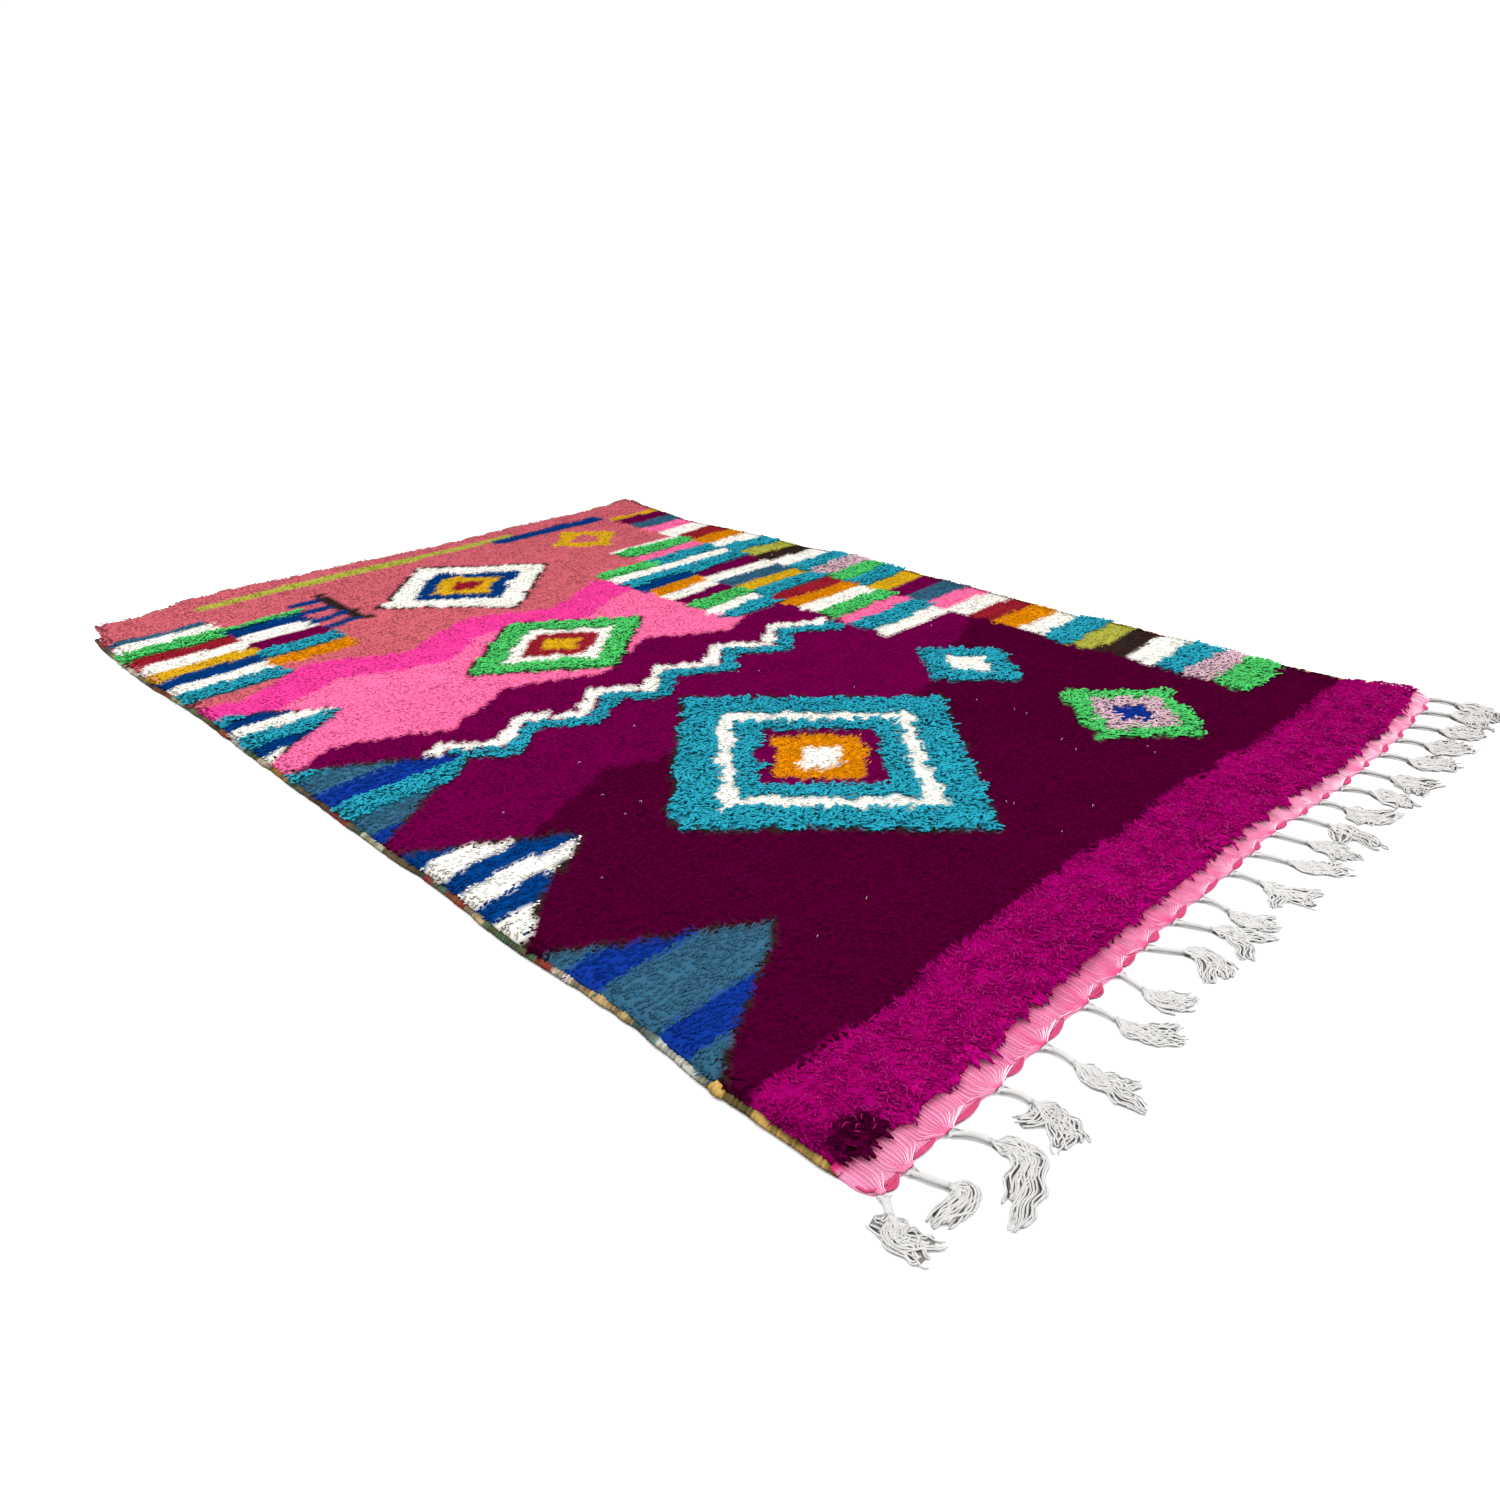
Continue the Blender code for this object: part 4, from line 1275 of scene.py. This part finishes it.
warp_yarn = yarn_finish("warp_yarn", 237, 235, 233, 26.0, flank_shade=0.56, greying_and_shade=0.22)
# painted shade: the dark finish of the flat strands under the locks
shaded_yarn = yarn_finish("shaded_yarn", 126, 123, 121, 26.0, flank_shade=0.5)
fringe = [tie_tassel(number, tassel) for number, tassel in enumerate(TASSELS, 1)]
print("the fringe has", sum(len(piece.data.polygons) for piece in fringe), "faces")

# %% [markdown]
# ## The flat-woven strip and the last weft
#
# Before the knots begin, the weaver beats in a strip of plain weave, so that they can't slide
# off. Its warps show as pale ribs. Near the rim they leave the weft and turn along it to the
# nearest tassel, and the last weft, left long, bows out between one tassel and the next. The
# strip is one closed sheet that puckers a little and rises to the pile, and every warp is a
# spun yarn laid half into it. A warp's own UV map tells the finish how near the rim a point is,
# so it goes from pink to white as it comes bare.

# %% Weave the strip
STRIP_CELLS = 260
STRIP_ROWS = 7
STRIP_LAP = 0.012  # how far the strip runs in under the pile
RUFFLE, RUFFLE_WIDE, RUFFLE_LONG = 0.0030, 0.015, 0.034  # how high, wide and long a pucker is
STRIP_RISE = 0.0045  # how much the cloth is drawn up at the pile
CORNER_ROUND = 0.022  # of the strip's two outer corners
WARP_PITCH = 0.0050
STRIP_WARP = 0.0025
STRIP_PINK = (234, 146, 184)
# painted shadow: a deeper pink for the shade where the strip runs in under the pile
SHADOW_PINK = (226, 44, 118)  # where the strip runs in under the pile
WOVEN_PINK, BARE_WHITE = (248, 176, 209), (254, 238, 247)  # its warps, under weft and bare
WEFT_PITCH = 0.0021
WARP_POINTS = 10
TURN_LOW, TURN_HIGH = 0.0045, 0.0150  # how far from the rim a warp turns to its tassel

roots_x = np.array([tassel.across for tassel in TASSELS])
strip_left, strip_right = strip_low.x + 0.002, strip_high.x - 0.002


def on_strip(x, y):
    """The height of the strip's top, which holds on beyond its rim and rises to the pile."""
    rim = along(strip_rim, x)
    found = meets("kilim_end", (x, max(y, rim + 0.004), 0.1), (0, 0, -1))
    inward = min(max((y - rim) / (along(near_pile, x) - rim), 0.0), 1.0)
    return (found.z if found else 0.0048) + STRIP_RISE * inward**1.5


def ruffle_at(x, y):
    """How far the strip's cloth puckers up, because it is beaten in more loosely than the pile."""
    return RUFFLE * noise.noise((x / RUFFLE_WIDE, y / RUFFLE_LONG, 5.0))


def strip_outer(x):
    """The strip's outer edge, with rounded corners."""
    from_end = np.clip(np.minimum(x - strip_left, strip_right - x), 0, CORNER_ROUND)
    cut = CORNER_ROUND - np.sqrt(CORNER_ROUND**2 - (CORNER_ROUND - from_end) ** 2)
    return along(strip_rim, x) + 0.0006 + cut


def strip_weave():
    material, shader, wire = plain_fabric("strip_weave", sheen=0.0)
    place = place_in(wire)
    across, lengthwise, _ = split(place)
    weft = stripes(lengthwise * (1 / WEFT_PITCH))
    rib = stripes(across * (1 / WARP_PITCH))
    grain = noise_on(wire, place, 300.0)
    drift = noise_on(wire, place, 46.0)
    # painted shadow: the pink deepens to the shadow pink where the strip runs in under the pile
    inward = marked(wire, "inward").ramp(0.58, 0.94)
    # painted shade: darker between the ribs and the weft rows and in broad soft patches, with a random
    # grain
    shade = (0.76 + 0.20 * rib) * (0.52 + 0.16 * weft + 0.24 * grain + 0.50 * drift)
    dyed = wire.colour(colour_of(*STRIP_PINK)).towards(colour_of(*SHADOW_PINK), inward)
    show_colour(wire, shader, dyed.scaled(shade))
    set_relief(wire, shader, weft + rib + grain, 0.0006, 0.8)
    return material


def make_strip():
    block = sheet_block(STRIP_CELLS, STRIP_ROWS)
    corners = np.array([corner.co[:] for corner in block.verts])
    share = corners[:, 1]
    x = strip_left + (strip_right - strip_left) * corners[:, 0]
    outer = strip_outer(x)
    y = outer + (along(near_pile, x) + STRIP_LAP - outer) * share
    for corner, px, py, at in zip(block.verts, x, y, share):
        if corner.co.z > 0.5:
            edge = min(1.0, 0.45 + at * 4)
            corner.co = (px, py, (on_strip(px, py) + ruffle_at(px, py)) * edge)
        else:
            corner.co = (px, py, FLOOR_ROOM)
    strip = piece_from("strip", block, strip_weave())
    mark(strip.data, "inward", share)
    return strip


def warp_path(start_x, dice):
    """A warp that shows as a rib of the strip, then turns along its rim to the nearest tassel."""
    tassel = TASSELS[int(np.argmin(np.abs(roots_x - start_x)))]
    off = start_x - tassel.across
    far = min(abs(off) / 0.040, 1.0)
    rim = strip_outer(start_x)
    mouth = root_of(tassel) + np.array([np.clip(off * 0.25, -ROOT_SPREAD, ROOT_SPREAD), 0.001])
    turn = TURN_HIGH + (TURN_LOW - TURN_HIGH) * far + dice.uniform(-0.001, 0.001)
    low = (rim + mouth[1]) / 2 + 0.35 * turn
    flat = smooth_path([
        (start_x, along(near_pile, start_x) + 0.006), (start_x, rim + turn * 1.8),
        (start_x - 0.12 * off, rim + turn), (start_x - 0.60 * off, low), mouth,
    ], WARP_POINTS)
    height = np.array([on_strip(px, py) + ruffle_at(px, py) for px, py in flat]) + 0.0002
    height[-1] = NECK_RISE[0] + 0.001
    height[-2] = (height[-3] + height[-1]) / 2
    return np.column_stack([flat, height])


def warp_finish():
    """Warps that the weft covers near the pile and leaves bare towards the rim, with a painted pink
    shadow where they run in under the pile.
    """
    material, shader, wire = plain_fabric("bare_warps", sheen=0.0)
    place = place_in(wire)
    lengthwise = split(wire.node("UVMap"))[1]
    grain = noise_on(wire, place, 420.0)
    drift = noise_on(wire, place, 24.0)
    bare = lengthwise + 0.8 * (drift - 0.5) + 0.25 * split(place)[0].ramp(-0.4, 0.4)
    # painted shadow: a warp starts in the shadow pink where it runs in under the pile
    painted_shadow = wire.colour(colour_of(*SHADOW_PINK))
    woven = painted_shadow.towards(colour_of(*WOVEN_PINK), lengthwise.ramp(0.0, 0.32))
    worn = woven.towards(colour_of(*BARE_WHITE), bare.ramp(0.06, 0.86))
    # painted shade: darker on the sides that face down, with a random grain
    shade = 0.35 + 0.50 * facing_up(wire, -0.2, 0.8) + 0.22 * grain
    show_colour(wire, shader, worn.scaled(shade))
    return material


def make_warps():
    dice = random.Random(5)
    starts = np.arange(strip_left + 0.010, strip_right - 0.006, WARP_PITCH)
    paths = [warp_path(start + dice.uniform(-0.0011, 0.0011), dice) for start in starts]
    mesh = spin_yarns("strip_warps", paths, STRIP_WARP, 0)
    return piece_of("strip_warps", mesh, warp_finish())


strip = make_strip()
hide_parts("kilim_end")
warps = make_warps()
print("the strip has", len(strip.data.polygons), "faces and its warps", len(warps.data.polygons))

# %% Bow out the last weft
BOW_YARNS = 4
BOW_THICK = 0.0032
BOW_LOW, BOW_HIGH = (0.06, 0.28), (0.64, 0.92)  # where a bow starts and ends between two tassels
BOW_SHORT, BOW_SHORT_FROM = (1.0, 0.78), (-0.6, -0.3)  # how much shorter it is towards the right
CORNER_INSET = 0.002


def bow_paths(left, right, dice):
    """The last weft's strands between two tassels, as a crescent."""
    share = np.linspace(0, 1, 11)
    short = np.interp(left, BOW_SHORT_FROM, BOW_SHORT)
    low = left + (right - left) * dice.uniform(*BOW_LOW)
    high = left + (right - left) * dice.uniform(*BOW_HIGH) * short
    x = low + (high - low) * share
    bulge = np.sin(math.pi * share**dice.uniform(0.8, 1.25)) ** 0.8 * dice.uniform(0.36, 0.74)
    paths = []
    for strand in range(BOW_YARNS):
        room = along(strip_rim, x) - along(weft_rim, x) + 0.0020
        out = (strand + 0.4) / BOW_YARNS * dice.uniform(0.9, 1.1)
        y = along(strip_rim, x) - room * out * bulge + 0.003 * (1 - bulge)
        height = BOW_THICK / 2 + 0.0004 + 0.0022 * bulge * (1 - out) + 0.0008 * dice.uniform(-1, 1)
        paths.append(np.column_stack([x, y, np.maximum(height, BOW_THICK / 2 + 0.0002)]))
    return paths


def corner_path(dice):
    """The end of the last weft, turned back round the strip's near-left corner."""
    reach = roots_x[0] + 0.050 - dice.uniform(0, 0.012)
    rim = along(strip_rim, reach)
    side = strip_left + CORNER_INSET
    flat = smooth_path([
        (reach, rim + CORNER_INSET + 0.006),
        ((reach + strip_left) / 2 + 0.008, rim + CORNER_INSET * 0.9),
        (side + 0.004, rim + CORNER_INSET + 0.006),
        (side, rim + CORNER_INSET + 0.030),
        (side + 0.006, along(near_pile, strip_left + 0.01) + 0.004),
    ], 14)
    height = 0.0054 + 0.0008 * dice.uniform(-1, 1) - 0.0030 * np.linspace(1, 0, 14) ** 3
    return np.column_stack([flat, height])


def make_bows():
    dice = random.Random(9)
    stops = [*roots_x, strip_high.x - 0.004]
    paths = [path for pair in zip(stops, stops[1:]) for path in bow_paths(*pair, dice)]
    paths.append(corner_path(dice))
    mesh = spin_yarns("last_weft", paths, BOW_THICK)
    finish = yarn_finish("bow_yarn", 218, 82, 126, 20.0, flank_shade=0.80)
    return piece_of("last_weft", mesh, finish)


last_weft = make_bows()
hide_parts("end_weft")

# %% [markdown]
# ## The side cords
#
# The outermost warps are wrapped with the ends of whatever yarn the weaver has at hand, so a
# side cord changes colour every few inches. Each cord is one thick curve whose radius rises and
# falls with every wrap. Once it is a mesh it is pressed a little flat and sheared, which slants
# the wraps, and its colours are an attribute that changes along it, broken by a noise. Its near
# end runs on a little beside the strip and tapers out.

# %% Wrap the side cords
WRAP = 0.0062
CORD_WIDE = 0.0120
CORD_HIGH = 0.0080
WRAP_SLANT = 0.35
KNOT_Y = -0.967
CORD_PAST = 0.028  # how far a cord runs on beside the strip
CORD_TAPER = 0.024
CORD_SWELL, CORD_SWELL_SIZE = 0.45, 0.035  # how a cord gets thicker and thinner along it
KNOT_SWELL, KNOT_LONG_Y = 0.90, 0.008  # the knot in the left cord

OLIVE, GOLD, CREAM = (98, 84, 50), (186, 152, 84), (184, 186, 174)
SLATE, TAN = (92, 122, 126), (176, 150, 104)
NEAR_WRAPS = (
    (-1.3, GOLD), (-1.022, OLIVE), (-0.980, GOLD), (-0.952, CREAM), (-0.865, SLATE), (-0.815, TAN),
)
SCRAPS_FROM = -0.72
SCRAPS = (
    (176, 158, 122), (96, 80, 62), (132, 56, 46), (78, 96, 70), (190, 176, 158), (150, 144, 108),
    (82, 66, 52), (162, 112, 56), (110, 118, 90), (132, 46, 58), (74, 86, 74), (182, 180, 150),
)


def scrap_runs(high, dice):
    """Where each length of wrapping starts along a cord, and its colour."""
    runs = list(NEAR_WRAPS)
    at = SCRAPS_FROM
    while at < high:
        runs.append((at, SCRAPS[dice.integers(len(SCRAPS))]))
        at += dice.uniform(0.018, 0.070)
    return runs


def cord_wool():
    material, shader, wire = plain_fabric("cord_wool", sheen=0.0)
    place = place_in(wire)
    grain = noise_on(wire, place, 260.0, detail=3.0)
    dyed = wire.node("Attribute", {"attribute_name": "dyed"}, out="Color")
    groove = marked(wire, "groove")
    upward = facing_up(wire, -0.3, 0.8)
    patch = noise_on(wire, place, 62.0, detail=1.0).ramp(0.44, 0.60)
    # painted shade: worn here is a random grain times a shade that darkens the grooves between the wraps
    # and the sides that face down
    worn = (0.50 + 0.8 * grain) * (0.35 + 0.65 * groove) * (0.25 + 0.75 * upward)
    olive = wire.colour(colour_of(*OLIVE))
    show_colour(wire, shader, dyed.towards(olive, patch * 0.55).scaled(worn))
    set_relief(wire, shader, grain, 0.001, 0.6)
    return material


def make_cord(name, bound, pile_side, material, seed):
    low, high = bound.at[0], bound.at[-1]
    dice = np.random.default_rng(seed)
    turns = int((high - low + CORD_PAST + 0.012) / (WRAP / 2))
    y = np.cumsum(WRAP / 2 * dice.uniform(0.65, 1.35, turns)) + low - CORD_PAST
    taper = np.clip((y - y[0]) / CORD_TAPER + 0.25, 0, 1)
    outward = np.sign(along(bound, y) - along(pile_side, y))
    x = along(bound, y) - outward * CORD_WIDE * 0.42
    lift = np.array([lift_at(px - side * 0.03, py) for px, py, side in zip(x, y, outward)])
    crest = np.arange(len(y)) % 2
    radius = np.where(crest, 1.0, 0.84) * dice.uniform(0.86, 1.06, len(y))
    swell = [noise.noise((at / CORD_SWELL_SIZE, seed * 9.0, 0.0)) for at in y]
    radius *= 1 + CORD_SWELL * np.array(swell)
    radius = np.clip(radius, 0.45, 1.25)
    radius += KNOT_SWELL * np.exp(-(((y - KNOT_Y) / KNOT_LONG_Y) ** 2)) * (seed == 1)
    radius *= taper
    mesh = spin_yarns(name, [np.column_stack([x, y, np.zeros(len(y))])], CORD_WIDE, 2, [radius])
    points = points_in(mesh)
    middle = np.interp(points[:, 1], y, x)
    size = np.interp(points[:, 1], y, radius)
    middle_height = np.maximum(size, 0.9 * np.interp(points[:, 1], y, taper))
    points[:, 2] = points[:, 2] * CORD_HIGH / CORD_WIDE + CORD_HIGH / 2 * middle_height
    points[:, 2] += np.interp(points[:, 1], y, lift) + FLOOR_ROOM
    runs = scrap_runs(high, dice)
    run = np.searchsorted([start for start, _ in runs], points[:, 1]) - 1
    dyes = np.array([colour_of(*colour) for _, colour in runs])[run]
    points[:, 1] += WRAP_SLANT * (points[:, 0] - middle)
    mesh.vertices.foreach_set("co", points.ravel())
    cord = piece_of(name, mesh, material)
    mark_colour(mesh, "dyed", dyes)
    # how far out each wrap's crest stands, which the finish turns into painted shade in the grooves
    mark(mesh, "groove", np.clip((size - 0.70) / 0.3, 0, 1))
    return cord


edge_wool = cord_wool()
left_cord = make_cord("cord_left", left_bound, left_pile, edge_wool, 1)
right_cord = make_cord("cord_right", right_bound, right_pile, edge_wool, 2)
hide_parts("selvedge_left")
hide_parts("selvedge_right")
print("the side cords have", len(left_cord.data.polygons), "and", len(right_cord.data.polygons), "faces")

# %% [markdown]
# ## The studio
#
# The rug lies on a plain pale floor under a wide soft light, and the camera stands low at the
# near corner. Its place, heading and roll were worked out from the rug's four corners, so the
# same lens as the photograph's gives the same steep perspective.

# %% Set up the camera
CAMERA_PLACE = (-1.4472, -1.6616, 0.8767)
CAMERA_HEADING = (0.62658, 0.64084, -0.44354)
CAMERA_ROLL = -1.28
LENS = 26.716

camera = bpy.data.objects.new("camera", bpy.data.cameras.new("camera"))
camera.data.lens = LENS
camera.data.sensor_width = 36.0
camera.location = CAMERA_PLACE
camera.rotation_mode = "QUATERNION"
roll = Quaternion((0.0, 0.0, 1.0), math.radians(CAMERA_ROLL))
camera.rotation_quaternion = Vector(CAMERA_HEADING).to_track_quat("-Z", "Y") @ roll
bpy.context.scene.collection.objects.link(camera)
bpy.context.scene.camera = camera
bpy.context.scene.view_settings.view_transform = "Standard"

# %% Lay the floor and light it
FLOOR_SIZE = 30.0


def make_floor():
    block = bmesh.new()
    bmesh.ops.create_grid(block, x_segments=1, y_segments=1, size=FLOOR_SIZE / 2)
    mesh = bpy.data.meshes.new("floor")
    block.to_mesh(mesh)
    block.free()
    material, shader, _ = plain_fabric("floor_paint", roughness=0.8, sheen=0.0)
    shader.inputs["Base Color"].default_value = (0.95, 0.95, 0.95, 1.0)
    mesh.materials.append(material)
    floor = bpy.data.objects.new("floor", mesh)
    bpy.context.scene.collection.objects.link(floor)


def add_light(name, place, size, watts):
    light = bpy.data.objects.new(name, bpy.data.lights.new(name, "AREA"))
    light.data.shape = "DISK"
    light.data.size = size
    light.data.energy = watts
    light.location = place
    light.rotation_mode = "QUATERNION"
    light.rotation_quaternion = (-Vector(place)).to_track_quat("-Z", "Y")
    bpy.context.scene.collection.objects.link(light)


make_floor()
add_light("softbox", (-1.6, 1.0, 3.2), 2.6, 80.0)
add_light("fill", (0.9, -3.2, 2.0), 3.0, 60.0)
world = bpy.data.worlds.new("studio")
world.use_nodes = True
world.node_tree.nodes["Background"].inputs["Color"].default_value = (1.0, 1.0, 1.0, 1.0)
world.node_tree.nodes["Background"].inputs["Strength"].default_value = 1.08
bpy.context.scene.world = world
